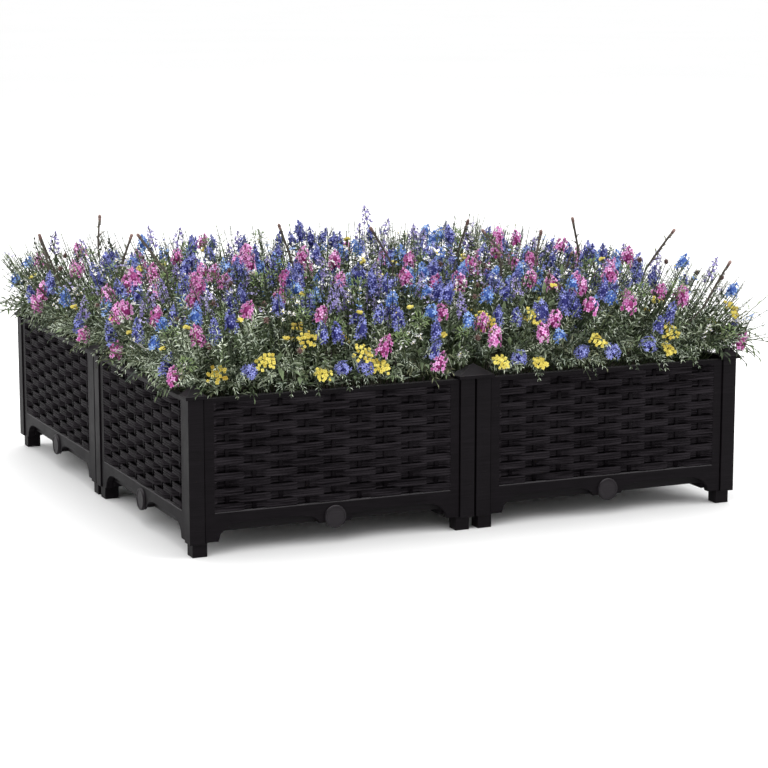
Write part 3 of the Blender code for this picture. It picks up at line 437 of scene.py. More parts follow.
# The woven wall of one module side, made for the front left and turned to its place
def dressPanels():
    looks = ["plasticPanel", "wovenStrand", "wovenStake", "plasticBoss", "plasticBeadPaintedHighlight"]
    parts = [toMesh("part", make()) for make in (panelFrame, allStrands, allStakes, lowerBead, roundBoss)]
    for turn, side in enumerate(("front", "right", "back", "left")):
        for step, word in enumerate(("a", "b")):
            bm = bmesh.new()
            for part in parts:
                bm.from_mesh(part)
            place = Matrix.Rotation(turn * quarterTurn, 4, "Z")
            place = place @ Matrix.Translation((step * (bed["edge"] + bed["gap"] / 2), 0, 0))
            bmesh.ops.transform(bm, matrix=place, verts=bm.verts)
            node = "panel_" + side + "_" + word
            name = "woven." + node
            fit(name, toMesh(name, bm), looks, "black_plastic", node)
    for part in parts:
        bpy.data.meshes.remove(part)


dressPanels()
print("woven walls done")

crumbs = dict(step=0.009, height=0.0035, wave=0.001, depth=0.030, count=130, size=(0.0015, 0.0045),
              postReach=0.032, postDrop=0.012)


# Crumbly soil: a rough top over the solid's own block, and loose crumbs pressed into it
def dressSoil():
    floorHeight = bed["soilTop"] - crumbs["depth"]
    for index, node in enumerate(sorted(name for name in cadNodes if name.startswith("soil"))):
        rng = random.Random(70 + index)
        low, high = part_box(node)
        bm = bmesh.new()
        across = round((high.x - low.x) / crumbs["step"])
        made = bmesh.ops.create_grid(bm, x_segments=across, y_segments=across, size=0.5)
        for vert in made["verts"]:
            x = (low.x + high.x) / 2 + vert.co.x * (high.x - low.x) * 0.998
            y = (low.y + high.y) / 2 + vert.co.y * (high.y - low.y) * 0.998
            wave = 0.5 * math.sin(61 * x + 1.7) * math.cos(53 * y) + 0.3 * math.sin(137 * x - 91 * y)
            rough = crumbs["height"] * (rng.random() - 0.45)
            vert.co = (x, y, bed["soilTop"] + crumbs["wave"] * wave + rough)
        grown = bmesh.ops.extrude_face_region(bm, geom=list(bm.faces), use_keep_orig=True)
        for vert in (part for part in grown["geom"] if isinstance(part, bmesh.types.BMVert)):
            vert.co.z = floorHeight
        flat = [face for face in bm.faces if all(vert.co.z < floorHeight + 1e-5 for vert in face.verts)]
        bmesh.ops.dissolve_faces(bm, faces=flat)
        # the block's corners give way to the posts
        posts = [[0.0 if abs(side) < 0.1 else math.copysign(bed["edge"], side) for side in sides]
                 for sides in ((low.x, high.x), (low.y, high.y))]
        for vert in bm.verts:
            apart = [min(abs(vert.co[axis] - post) for post in posts[axis]) for axis in (0, 1)]
            if max(apart) < crumbs["postReach"]:
                atFloor = vert.co.z < floorHeight + 1e-4
                vert.co.z = floorHeight if atFloor else bed["soilTop"] - crumbs["postDrop"]
        for _ in range(crumbs["count"]):
            size = rng.uniform(*crumbs["size"])
            x = rng.uniform(low.x + 0.01, high.x - 0.01)
            y = rng.uniform(low.y + 0.01, high.y - 0.01)
            place = Matrix.Translation((x, y, bed["soilTop"] + size * 0.2))
            place = place @ Matrix.Rotation(rng.uniform(0, 6), 4, (0.3, 0.5, 0.8))
            place = place @ Matrix.Diagonal((1, rng.uniform(0.6, 0.9), 0.7, 1))
            bmesh.ops.create_icosphere(bm, subdivisions=1, radius=size, matrix=place)
        bmesh.ops.recalc_face_normals(bm, faces=bm.faces)
        name = "crumbly." + node
        fit(name, toMesh(name, bm), ["pottingSoil"], "soil", node)


dressSoil()
print("soil done")


# A small shape that is set many times: corners, triangles, and how far out each corner is
class Shape:
    def __init__(self, bm, outness, smooth=False):
        bmesh.ops.triangulate(bm, faces=bm.faces)
        bmesh.ops.recalc_face_normals(bm, faces=bm.faces)
        bm.verts.index_update()
        self.corners = np.array([vert.co[:] for vert in bm.verts])
        self.faces = np.array([[vert.index for vert in face.verts] for face in bm.faces])
        self.outness = np.array([outness(vert.co) for vert in bm.verts])
        self.smooth = smooth
        bm.free()


# Open flower: three corners to a petal, a raised rim and a low middle
def floretShape(petals, notch, cup):
    bm = bmesh.new()
    around = petals * 3
    bmesh.ops.create_uvsphere(bm, u_segments=around, v_segments=2, radius=1.0)
    for vert in bm.verts:
        if abs(vert.co.z) > 0.5:
            vert.co.z = 0.10 if vert.co.z > 0 else -0.22
        else:
            turn = math.atan2(vert.co.y, vert.co.x)
            atNotch = round(turn / (2 * math.pi) * around) % 3 == 0
            reach = notch if atNotch else 1.0
            vert.co = (math.cos(turn) * reach, math.sin(turn) * reach, cup * reach)
    return Shape(bm, lambda spot: min(1.0, math.hypot(spot.x, spot.y)))


# Leaf along Z with its upper side towards Y, folded along its middle rib
def leafShape(rings, fold, bend, thin=0.022, fullness=0.8):
    bm = bmesh.new()
    bmesh.ops.create_uvsphere(bm, u_segments=4, v_segments=rings, radius=1.0)
    for vert in bm.verts:
        part = 1 - math.acos(max(-1, min(1, vert.co.z))) / math.pi
        if part < 0.01 or part > 0.99:
            vert.co = (0, -bend * part * part, part)
            continue
        width = math.sin(math.pi * part ** fullness)
        turn = round(math.atan2(vert.co.y, vert.co.x) / quarterTurn) % 4
        x = (0.5, 0, -0.5, 0)[turn] * width
        y = (fold * width, thin, fold * width, -thin)[turn]
        vert.co = (x, y - bend * part * part, part)
    return Shape(bm, lambda spot: 0.25 + 0.75 * abs(spot.z) if abs(spot.x) > 0.01 else 0.15 + 0.5 * spot.z)


def rodShape():
    bm = bmesh.new()
    place = Matrix.Translation((0, 0, 0.5))
    bmesh.ops.create_cone(bm, cap_ends=True, segments=3, radius1=1.0, radius2=0.85, depth=1.0, matrix=place)
    return Shape(bm, lambda spot: 0.3)


def budShape():
    bm = bmesh.new()
    bmesh.ops.create_icosphere(bm, subdivisions=1, radius=1.0)
    # painted light: a bud's upper half gets more of the pale tone
    return Shape(bm, lambda spot: 0.5 + 0.5 * spot.z, True)


# Round yarrow button: a low dome of tiny florets with a dimple
def buttonShape():
    bm = bmesh.new()
    bmesh.ops.create_uvsphere(bm, u_segments=8, v_segments=3, radius=1.0)
    for vert in bm.verts:
        if math.hypot(vert.co.x, vert.co.y) > 0.3:
            vert.co *= 1.0 + 0.14 * math.cos(4 * math.atan2(vert.co.y, vert.co.x))
        elif vert.co.z > 0:
            vert.co.z = 0.22
    return Shape(bm, lambda spot: min(1.0, math.hypot(spot.x, spot.y) + 0.1))


shapes = {
    "fiveFlower": floretShape(5, 0.42, 0.30),
    "broadFlower": floretShape(4, 0.55, 0.18),
    "smallFlower": floretShape(4, 0.40, 0.55),
    "leaflet": leafShape(2, 0.10, 0.10),
    "leaf": leafShape(3, 0.16, 0.14),
    "blade": leafShape(5, 0.10, 0.38, thin=0.008, fullness=0.6),
    "petal": leafShape(2, 0.10, -0.12, thin=0.05, fullness=1.3),
    "rod": rodShape(),
    "bud": budShape(),
    "button": buttonShape(),
}

# Gathers copies of the small shapes and writes them as one mesh
class Clump:
    def __init__(self):
        self.copies = {}

    # A size is a width and a length: rods and buds are as deep as wide, leaves and flowers as deep as long
    def add(self, shape, finish, spot, way, size, spin=0.0, chance=0.5, rise=0.5):
        turn = way.to_track_quat("Z", "Y").to_matrix()
        if spin:
            turn = turn @ Matrix.Rotation(spin, 3, "Z")
        wide, long = size
        deep = wide if shape in ("rod", "bud") else long
        copy = (np.array(turn) * (wide, deep, long), spot[:], chance, rise)
        self.copies.setdefault((shape, finish), []).append(copy)

    def rod(self, start, end, thickness, finish="stemGreen", chance=0.5, rise=0.5, share=1.0):
        way = end - start
        size = (thickness, way.length * share)
        self.add("rod", finish, start, way.normalized(), size, chance=chance, rise=rise)

    def write(self, name, slotName, node):
        order = sorted({finish for _, finish in self.copies})
        corners, faces, growth, looks, smooth = [], [], [], [], []
        start = 0
        for (word, finish), copies in sorted(self.copies.items()):
            shape = shapes[word]
            count = len(copies)
            turns, spots, chances, rises = (np.array(part) for part in zip(*copies))
            corners.append((np.einsum("nij,vj->nvi", turns, shape.corners) + spots[:, None]).reshape(-1, 3))
            shift = start + np.arange(count) * len(shape.corners)
            faces.append((shape.faces[None] + shift[:, None, None]).reshape(-1, 3))
            marks = np.ones((count, len(shape.corners), 4))
            marks[..., 0] = shape.outness[None]
            marks[..., 1] = chances[:, None]
            marks[..., 2] = rises[:, None]
            growth.append(marks.reshape(-1, 4))
            looks += [order.index(finish)] * (count * len(shape.faces))
            smooth += [shape.smooth] * (count * len(shape.faces))
            start += count * len(shape.corners)
        mesh = bpy.data.meshes.new(name)
        mesh.from_pydata(np.concatenate(corners).tolist(), [], np.concatenate(faces).tolist())
        mesh.polygons.foreach_set("material_index", looks)
        mesh.polygons.foreach_set("use_smooth", smooth)
        marks = mesh.color_attributes.new("growth", "FLOAT_COLOR", "POINT")
        marks.data.foreach_set("color", np.concatenate(growth).ravel())
        fit(name, mesh, order, slotName, node)
        mesh.update()
        return len(mesh.polygons)


# Two directions square to a way
def acrossOf(way):
    side = Vector((-way.y, way.x, 0))
    if side.length < 1e-6:
        side = Vector((1, 0, 0))
    side.normalize()
    return side, way.cross(side).normalized()


def around(side, cross, angle):
    return side * math.cos(angle) + cross * math.sin(angle)


# A random vector: level parts within a reach, the upright part fixed or within limits
def jolt(rng, reach, low, high=None):
    x, y = rng.uniform(-reach, reach), rng.uniform(-reach, reach)
    return Vector((x, y, low if high is None else rng.uniform(low, high)))


# A value from 0 to 1 that strays from a chance
def stray(rng, chance, reach):
    return min(1, max(0, chance + rng.uniform(-reach, reach)))


# Directions spread evenly over a dome, from its middle down
def dome(rng, way, count, depth, first=0.5, wander=0.0):
    side, cross = acrossOf(way)
    for index in range(count):
        level = 1 - depth * (index + first) / count
        angle = index * goldenTurn + (rng.uniform(-wander, wander) if wander else 0)
        yield around(side, cross, angle) * math.sqrt(max(0.0, 1 - level * level)) + way * level


# A bent stem's point and its direction there
def bendAt(foot, knee, top, part):
    spot = foot * (1 - part) ** 2 + knee * (2 * part * (1 - part)) + top * part ** 2
    return spot, ((knee - foot) * (1 - part) + (top - knee) * part).normalized()


# A bent stem of short rods that lap a little
def growStem(clump, foot, knee, top, thickness, steps, finish="stemGreen", chance=0.5):
    spots = [bendAt(foot, knee, top, index / steps)[0] for index in range(steps + 1)]
    for low, high in zip(spots, spots[1:]):
        clump.rod(low, high, thickness, finish, chance, 0.3, 1.02)


# Flower heads of the spike kinds: floret radii, the step between florets, the head's outline, its dark
# heart (painted shade: a dark bud for the shade between the florets), and the sizes of the loose ones
spikes = {
    "blue": dict(shape="fiveFlower", finish="petalBlue", floret=(0.0036, 0.0054), step=0.0019, core=0.70,
                 tilt=0.40, base=0.60, power=3.0, taper=0.60, shadeHeart=0.64, length=(0.023, 0.036),
                 radius=(0.0085, 0.0110)),
    "sky": dict(shape="fiveFlower", finish="petalSky", floret=(0.0038, 0.0056), step=0.0018, core=0.68,
                tilt=0.50, base=0.80, power=3.5, taper=0.55, shadeHeart=0.64, length=(0.015, 0.025),
                radius=(0.0090, 0.0115)),
    "pink": dict(shape="broadFlower", finish="petalPink", floret=(0.0031, 0.0044), step=0.0011, core=0.84,
                 tilt=0.30, base=0.62, power=4.5, taper=0.50, shadeHeart=0.56, length=(0.020, 0.030),
                 radius=(0.0090, 0.0108)),
    "lavender": dict(shape="smallFlower", finish="petalLavender", floret=(0.0030, 0.0045), step=0.0018,
                     core=0.85, tilt=0.75, base=0.80, power=2.0, taper=0.60, shadeHeart=0, length=(0.024, 0.040),
                     radius=(0.0065, 0.0085)),
}


def spikeHead(clump, rng, base, tip, radius, kind):
    look = spikes[kind]
    finish = look["finish"]
    axis = tip - base
    way = axis.normalized()
    side, cross = acrossOf(way)
    count = max(9, round(axis.length / look["step"]))
    chance = rng.random()
    for index in range(count):
        part = (index + 0.4) / count
        swell = min(1.0, look["base"] + part / 0.3) * (1 - part ** look["power"]) ** look["taper"]
        out = around(side, cross, index * goldenTurn + rng.uniform(-0.4, 0.4))
        spot = base + axis * (part * 0.95) + out * (radius * look["core"] * swell * rng.uniform(0.78, 1.10))
        size = rng.uniform(*look["floret"]) * (0.60 + 0.40 * swell)
        face = out + way * (look["tilt"] * (0.2 + part)) + jolt(rng, 0.3, -0.25, 0.35)
        shade = chance * 0.3 + rng.uniform(0, 0.7)
        clump.add(look["shape"], finish, spot, face.normalized(), (size, size), rng.uniform(*anyTurn), shade,
                  part * rng.random())
    # painted shade: a bud in the deepest tone inside the head stands for the shade between the florets
    if look["shadeHeart"]:
        size = (radius * look["shadeHeart"], axis.length * 0.40)
        clump.add("bud", finish, base + axis * 0.42, way, size, chance=0.0, rise=0.0)
    for index in range(2):
        spot = tip - axis * (0.04 * index) + side * rng.uniform(-0.001, 0.001)
        size = radius * 0.16
        clump.add("bud", finish, spot, way, (size, size * 1.6), chance=0.2, rise=0.4)
    clump.rod(base, tip, 0.0011, chance=0.2, share=0.96)


# Yarrow head: stalks that fan out to a dome of round lobes
def yarrowHead(clump, rng, base, tip, radius, count=21):
    axis = tip - base
    way = axis.normalized()
    side, cross = acrossOf(way)
    chance = rng.random()
    for index in range(count):
        reach = math.sqrt((index + 0.3) / count) * (radius - 0.0026) * rng.uniform(0.86, 1.14)
        out = around(side, cross, index * goldenTurn + rng.uniform(-0.3, 0.3)) * reach
        spot = base + axis * (0.88 - 0.34 * (reach / radius) ** 2 + rng.uniform(-0.14, 0.14)) + out
        size = rng.uniform(0.0021, 0.0029)
        if index % 2:
            clump.rod(base, spot, 0.0007)
        face = (way + out * 26).normalized()
        clump.add("button", "yarrowButton", spot, face, (size, size), rng.uniform(*anyTurn),
                  chance * 0.5 + rng.uniform(0, 0.5), rng.random())


# Uneven dome of blue florets on a short stalk
def roundHead(clump, rng, centre, way, radius):
    chance = rng.random()
    # painted shade: a bud in the deepest blue inside the dome stands for the shade between the florets
    clump.add("bud", "petalBlue", centre, way, (radius * 0.6, radius * 0.6), chance=0.0, rise=0.0)
    for out in dome(rng, way, 26, 1.5, 0.4, 0.3):
        size = rng.uniform(0.0028, 0.0042)
        spot = centre + out * (radius * rng.uniform(0.62, 1.14))
        face = (out + jolt(rng, 0.4, -0.3, 0.4)).normalized()
        clump.add("fiveFlower", "petalBlue", spot, face, (size, size), rng.uniform(*anyTurn),
                  chance * 0.2 + rng.uniform(0, 0.8), rng.random())


def starHead(clump, rng, centre, way, radius):
    side, cross = acrossOf(way)
    chance = rng.random()
    start = rng.uniform(*anyTurn)
    for index in range(5):
        out = (around(side, cross, start + 2 * math.pi * index / 5) + way * 0.22).normalized()
        clump.add("petal", "petalWhite", centre, out, (radius * 0.62, radius), 0.0, chance, 0.6)
    size = radius * 0.22
    clump.add("bud", "yarrowButton", centre + way * size * 0.5, way, (size, size * 0.7), chance=0.6)


# Loose spray of small white stars
def whiteSpray(clump, rng, top, radius):
    root = top - upward * radius * 2.2
    for _ in range(7):
        spot = top + jolt(rng, 1, -1.2, 0.6) * radius
        clump.rod(root, spot, 0.0005)
        face = jolt(rng, 0.8, 0.7).normalized()
        starHead(clump, rng, spot, face, rng.uniform(0.0034, 0.0050))


# Bare dark twig with a blunt brown tip, a few buds and small leaves half way up
def budTwig(clump, rng, base, tip, radius):
    axis = tip - base
    way = axis.normalized()
    side, cross = acrossOf(way)
    growStem(clump, base, base + axis * 0.5 + side * radius * 0.7, tip, 0.0021, 4, "twigBrown", rng.random())
    count = max(6, round(axis.length / 0.0075))
    for index in range(count):
        part = (index + 0.6) / count
        out = around(side, cross, index * 2.4)
        size = radius * rng.uniform(0.26, 0.38) * (1 - 0.35 * part)
        spot = base + axis * part + out * radius * 0.30
        face = (out + way * 1.2).normalized()
        clump.add("bud", "twigBrown", spot, face, (size * 0.8, size * 1.7), chance=rng.random(), rise=part)
        if 0.2 < part < 0.75:
            face = (out + way * 0.8).normalized()
            clump.add("leaflet", "leafOlive", spot, face, (0.0030, 0.0095), chance=rng.random(), rise=0.4)
    for index in range(4):
        size = radius * (0.50 - 0.04 * index)
        finish = "seedBrown" if index < 2 else "twigBrown"
        clump.add("bud", finish, tip - way * (0.0035 * index), way, (size, size * 1.3), chance=rng.random(),
                  rise=0.3)


# Thin stem with dark round buds held out left and right
def budStem(clump, rng, base, tip):
    axis = tip - base
    side, cross = acrossOf(axis.normalized())
    clump.rod(base, tip, 0.0006, chance=0.1)
    start = rng.uniform(0, 3)
    for index in range(6):
        part = 0.40 + 0.60 * index / 5
        spot = base + axis * part + around(side, cross, start + index * 2.5) * (0.0052 * (1.15 - part))
        root = base + axis * (part - 0.06)
        clump.rod(root, spot, 0.0004, chance=0.1)
        size = rng.uniform(0.0014, 0.0023)
        clump.add("bud", "budDark", spot, (spot - root).normalized(), (size, size * 1.5), chance=rng.random(),
                  rise=0.3)


# Brown seed head: pointed scales round a small core
def seedHead(clump, rng, top, way, radius):
    clump.add("bud", "seedBrown", top, way, (radius * 0.55, radius * 0.7), chance=0.0, rise=0.0)
    for out in dome(rng, way, 20, 1.6, wander=0.2):
        size = radius * rng.uniform(0.9, 1.25)
        clump.add("leaflet", "seedBrown", top, (out + way * 0.25).normalized(), (size * 0.42, size),
                  rng.uniform(-0.4, 0.4), rng.random(), rng.random())


# Soft green ball of fine leaflets
def fluffHead(clump, rng, centre, radius):
    chance = rng.random()
    for out in dome(rng, upward, 44, 1.7):
        face = (out + jolt(rng, 0.7, -0.4, 0.8)).normalized()
        size = radius * rng.uniform(0.45, 0.70)
        spot = centre + out * radius * rng.uniform(0.35, 0.72)
        clump.add("leaflet", "leafFresh", spot, face, (size * 0.26, size), rng.uniform(-0.5, 0.5),
                  chance * 0.4 + rng.uniform(0, 0.6), 0.3 + 0.7 * rng.random())


# Loose spray of tiny pale flowers
def speckSpray(clump, rng, base, height, finish):
    for _ in range(7):
        lean = jolt(rng, 0.5, 1).normalized()
        spot = base + lean * (height * rng.uniform(0.55, 1.0))
        clump.rod(base, spot, 0.0004, chance=rng.random())
        size = rng.uniform(0.0018, 0.0029)
        face = (lean + jolt(rng, 0.9, 0)).normalized()
        clump.add("smallFlower", finish, spot, face, (size, size), rng.uniform(0, 3),
                  rng.uniform(0.4, 1), 1.0)


# Narrow arching blades from one foot
def bladeTuft(clump, rng, foot, reach, height):
    for _ in range(3):
        angle = rng.uniform(*anyTurn)
        out = Vector((math.cos(angle), math.sin(angle), 0)) * rng.uniform(0.10, 0.35) + reach
        long = height * rng.uniform(0.70, 1.05)
        size = (rng.uniform(0.0017, 0.0027), long)
        clump.add("blade", "leafGreen", foot, (out + upward).normalized(), size, chance=rng.random(),
                  rise=rng.uniform(0.2, 0.8))


# What the feathery sprays end in: those inside the bed also in small blossoms, broader than a leaflet
sprayTips = dict(finishes=("leafPale", "petalWhite", "petalLavender", "petalSky", "petalBlue"),
                 weights=(46, 20, 16, 9, 9), insideFrom=0.50, tipFrom=0.66, paleShare=0.40, blossomShare=0.55,
                 leaf=(0.18, 1.0), blossom=(0.42, 0.66))


# A stem whose leaves hang is bent over a rim, in more steps than the others
def bendSteps(drop):
    return 4 if drop > 0.16 else 2


# Feathery spray: fine leaflets in threes all along the outer part of a bent stem
def featherSpray(clump, rng, foot, knee, top, finish, leaflet, pairs, start, drop=0.15):
    chance = rng.random()
    growStem(clump, foot, knee, top, 0.0006, bendSteps(drop), chance=chance)
    tip = rng.choices(sprayTips["finishes"], sprayTips["weights"])[0]
    if start < sprayTips["insideFrom"]:
        tip = "leafPale"
    tipShare = sprayTips["paleShare" if tip == "leafPale" else "blossomShare"]
    for index in range(pairs):
        part = start + (1 - start) * (index + 0.5) / pairs
        spot, way = bendAt(foot, knee, top, part)
        side, cross = acrossOf(way)
        angle = rng.uniform(-0.9, 0.9)
        size = leaflet * (1.15 - 0.55 * (index / pairs)) * rng.uniform(0.75, 1.25)
        for flip in (0.0, 2.1, 4.2):
            look = tip if part > sprayTips["tipFrom"] and rng.random() < tipShare else finish
            wide, long = sprayTips["leaf" if look.startswith("leaf") else "blossom"]
            face = around(side, cross, angle + flip) + way * rng.uniform(0.5, 1.2) - upward * drop
            clump.add("leaflet", look, spot, face.normalized(), (size * wide, size * long),
                      rng.uniform(-0.6, 0.6), stray(rng, chance, 0.4), part * rng.uniform(0.6, 1.0))


# Leafy stem: pairs of small folded leaves and one at the tip
def leafyStem(clump, rng, foot, knee, top, finish, leaf, width, pairs, start=0.35, drop=0.0, shape="leaflet"):
    chance = rng.random()
    growStem(clump, foot, knee, top, 0.0008, bendSteps(drop), chance=chance)
    for index in range(pairs + 1):
        part = start + (1 - start) * index / pairs
        spot, way = bendAt(foot, knee, top, part)
        side, cross = acrossOf(way)
        angle = index * 1.6 + rng.uniform(-0.4, 0.4)
        size = leaf * (1.1 - 0.45 * index / pairs) * rng.uniform(0.8, 1.2)
        for flip in ((0.0, math.pi) if index < pairs else (None,)):
            face = way
            if flip is not None:
                face = around(side, cross, angle + flip) + way * rng.uniform(0.4, 1.0) - upward * drop
            clump.add(shape, finish, spot, face.normalized(), (size * width, size), rng.uniform(-0.3, 0.3),
                      stray(rng, chance, 0.35), part * 0.8)

# The planting rule, the same as for the solids: cells, kinds, crowns and head places
planting = dict(
    seed=11, soilEdge=0.3595, gap=0.0006, fan=9.0, lean=(0.04, 0.12), middle=0.240, leafRoot=0.008,
    columnsOfThree=(-0.4365, -0.262, -0.131, 0.0, 0.131, 0.262, 0.4365),
    columnsOfTwo=(-0.4365, -0.190, 0.0, 0.190, 0.4365),
    rows=(-0.4365, -0.205, 0.0, 0.205, 0.4365),
    kinds=(
        ("feathery_foliage", "yarrow", "blue_spikes", "yarrow", "pink_heads", "yarrow"),
        ("pink_heads", "blue_spikes", "lavender_spikes", "sky_clusters", "bud_twigs", "blue_spikes"),
        ("blue_spikes", "pink_heads", "white_flowers", "pink_heads"),
        ("bud_twigs", "sky_clusters", "feathery_foliage", "blue_spikes", "lavender_spikes", "yarrow")),
    lowLeaves=4, highLeaves=3, lowTip=(0.222, 0.255), highReach=(0.055, 0.075), highTip=(0.285, 0.305))
kinds = {
    "blue_spikes": dict(word="blue", length=(0.044, 0.058), radius=0.0105, heads=5, tip=(0.295, 0.340)),
    "sky_clusters": dict(word="sky", length=(0.034, 0.046), radius=0.0115, heads=5, tip=(0.285, 0.330)),
    "pink_heads": dict(word="pink", length=(0.034, 0.048), radius=0.0115, heads=5, tip=(0.290, 0.335)),
    "lavender_spikes": dict(word="lavender", length=(0.048, 0.064), radius=0.0075, heads=5,
                            tip=(0.310, 0.352)),
    "yarrow": dict(word="yarrow", length=(0.017, 0.020), radius=0.0165, heads=5, tip=(0.248, 0.288)),
    "white_flowers": dict(word="white", length=(0.006, 0.007), radius=0.0115, heads=6, tip=(0.280, 0.330)),
    "bud_twigs": dict(word="twig", length=(0.060, 0.075), radius=0.0060, heads=5, tip=(0.335, 0.374)),
    "feathery_foliage": dict(word="feather", length=(0.060, 0.078), radius=0.0120, heads=5,
                             tip=(0.275, 0.325)),
}


def within(cell, spot, margin):
    lowX, highX, lowY, highY = cell
    return Vector((min(max(spot.x, lowX + margin), highX - margin),
                   min(max(spot.y, lowY + margin), highY - margin), spot.z))


def inside(cell, spot):
    return cell[0] <= spot.x < cell[1] and cell[2] <= spot.y < cell[3]


def crownPlace(cell):
    soil = planting["soilEdge"]
    lowX, highX = max(cell[0], -soil), min(cell[1], soil)
    lowY, highY = max(cell[2], -soil), min(cell[3], soil)
    return (lowX + highX) / 2, (lowY + highY) / 2


def headSpots(cell, count, rng):
    lowX, highX, lowY, highY = cell
    wide, deep = highX - lowX, highY - lowY
    columns = 2 if wide < deep * 1.4 else 3
    rows = math.ceil(count / columns)
    spots = []
    for index in range(count):
        row = index // columns
        inRow = min(columns, count - row * columns)
        across = (index % columns + 0.5) / inRow
        up = (row + 0.5) / rows
        across += (0.10 if row % 2 else -0.06) * (inRow > 1) + rng.uniform(-0.05, 0.05)
        spots.append((lowX + wide * across, lowY + deep * (up + rng.uniform(-0.06, 0.06))))
    return spots


def plantingCells():
    cells = []
    counts = {}
    for row, names in enumerate(planting["kinds"]):
        columns = planting["columnsOfTwo"] if len(names) == 4 else planting["columnsOfThree"]
        for column, kind in enumerate(names):
            counts[kind] = counts.get(kind, 0) + 1
            cell = (columns[column], columns[column + 1], planting["rows"][row], planting["rows"][row + 1])
            cells.append((cell, kind, kind + "_" + str(counts[kind])))
    return cells

roof = dict(height=0.327, wave=0.007, rim=0.075, fall=0.046)
rooting = dict(sway=0.016, kneeShare=0.30, kneeHeight=0.78, wallClear=0.235)
limits = dict(headX=0.408, headY=0.412, leaf=0.427, highest=0.374, capTop=0.262, cornerCap=0.023,
              middleCap=0.036)


# Height of the planting: level inside, rounded off towards the rim
def canopy(x, y):
    start = bed["reach"] - roof["rim"]
    inRim = max(0.0, abs(x) - start, abs(y) - start) / roof["rim"]
    wave = roof["wave"] * math.sin(31 * x + 0.6) * math.cos(27 * y)
    return roof["height"] + wave - roof["fall"] * min(1.0, inRim) ** 2


def onSoil(x, y, pull=0.90):
    edge = planting["soilEdge"]
    return Vector((min(max(x * pull, -edge), edge), min(max(y * pull, -edge), edge), rootHeight))


# A stem's foot in the soil and its knee, which clears the wall where the top hangs over it
def rooted(top, pull=0.90):
    swayX = rooting["sway"] * math.sin(917 * top.x + 531 * top.y)
    swayY = rooting["sway"] * math.sin(763 * top.x - 871 * top.y)
    foot = onSoil(top.x + swayX, top.y + swayY, pull)
    knee = foot + (top - foot) * rooting["kneeShare"]
    knee.z = max(top.z * rooting["kneeHeight"], rooting["wallClear"])
    return foot, knee


# Whether a head or leaf would hide the cap of a post
def hidesCap(x, y, z):
    post = bed["edge"] - bed["post"] / 2
    return z < limits["capTop"] and all(
        abs(abs(part) - post) < limits["cornerCap"] or abs(part) < limits["middleCap"] for part in (x, y))


# One head of a kind with its stem; centre is the middle of the head
def plantHead(clump, rng, kind, centre):
    centre.x = min(max(centre.x, -limits["headX"]), limits["headX"])
    centre.y = min(max(centre.y, -limits["headY"]), limits["headY"])
    away = Vector((centre.x * abs(centre.x), centre.y * abs(centre.y), 0))
    way = (away * 0.5 + jolt(rng, 0.38, 1)).normalized()
    base = centre
    if kind in spikes:
        length = rng.uniform(*spikes[kind]["length"])
        centre.z = min(centre.z, limits["highest"] - length / 2)
        base, tip = centre - way * length / 2, centre + way * length / 2
        spikeHead(clump, rng, base, tip, rng.uniform(*spikes[kind]["radius"]), kind)
    elif kind == "yarrow":
        way = (away * 4.6 + upward).normalized()
        base = centre - way * 0.014
        yarrowHead(clump, rng, base, centre + way * 0.004, rng.uniform(0.0130, 0.0165))
    elif kind == "button":
        base = centre - way * 0.010
        yarrowHead(clump, rng, base, centre, rng.uniform(0.0052, 0.0070), count=6)
    elif kind == "roundBlue":
        way = (away * 3.0 + upward).normalized()
        base = centre - way * 0.006
        roundHead(clump, rng, centre, way, rng.uniform(0.0092, 0.0112))
    elif kind == "white":
        base = centre - way * 0.016
        whiteSpray(clump, rng, centre, 0.0095)
    elif kind == "seed":
        seedHead(clump, rng, centre, way, rng.uniform(0.0042, 0.0060))
    elif kind == "fluff":
        fluffHead(clump, rng, centre, rng.uniform(0.011, 0.015))
    elif kind == "budStem":
        centre.z = min(centre.z + 0.008, 0.346 - rng.uniform(0, 0.012))
        base = centre - way * 0.022
        budStem(clump, rng, base, centre + way * 0.018)
    elif kind == "spire":
        centre.z = min(centre.z + 0.004, 0.340)
        base = centre - way * 0.030
        leafyStem(clump, rng, base, centre, centre + way * 0.014, "leafGreen", leaf=0.0095, width=0.36,
                  pairs=8, start=0.05, shape="leaf")
    elif kind == "speck":
        base = centre - upward * 0.010
        finish = rng.choice(("petalWhite", "petalSky", "petalLavender", "petalWhite"))
        speckSpray(clump, rng, base, 0.026, finish)
    elif kind == "twig":
        length = rng.uniform(0.045, 0.060)
        centre.z = min(centre.z, limits["highest"] - length * 0.4)
        base = centre - way * length * 0.6
        budTwig(clump, rng, base, centre + way * length * 0.4, rng.uniform(0.0045, 0.0058))
    foot, knee = rooted(base)
    growStem(clump, foot, knee, base, 0.0007, 3, chance=rng.random())
    inCorner = min(abs(base.x), abs(base.y)) > 0.300
    if inCorner or max(abs(base.x), abs(base.y)) > 0.390:
        finish = rng.choice(("leafGrey", "leafGreen"))
        featherSpray(clump, rng, foot, knee, base, finish, leaflet=0.0090, pairs=5, start=0.42)


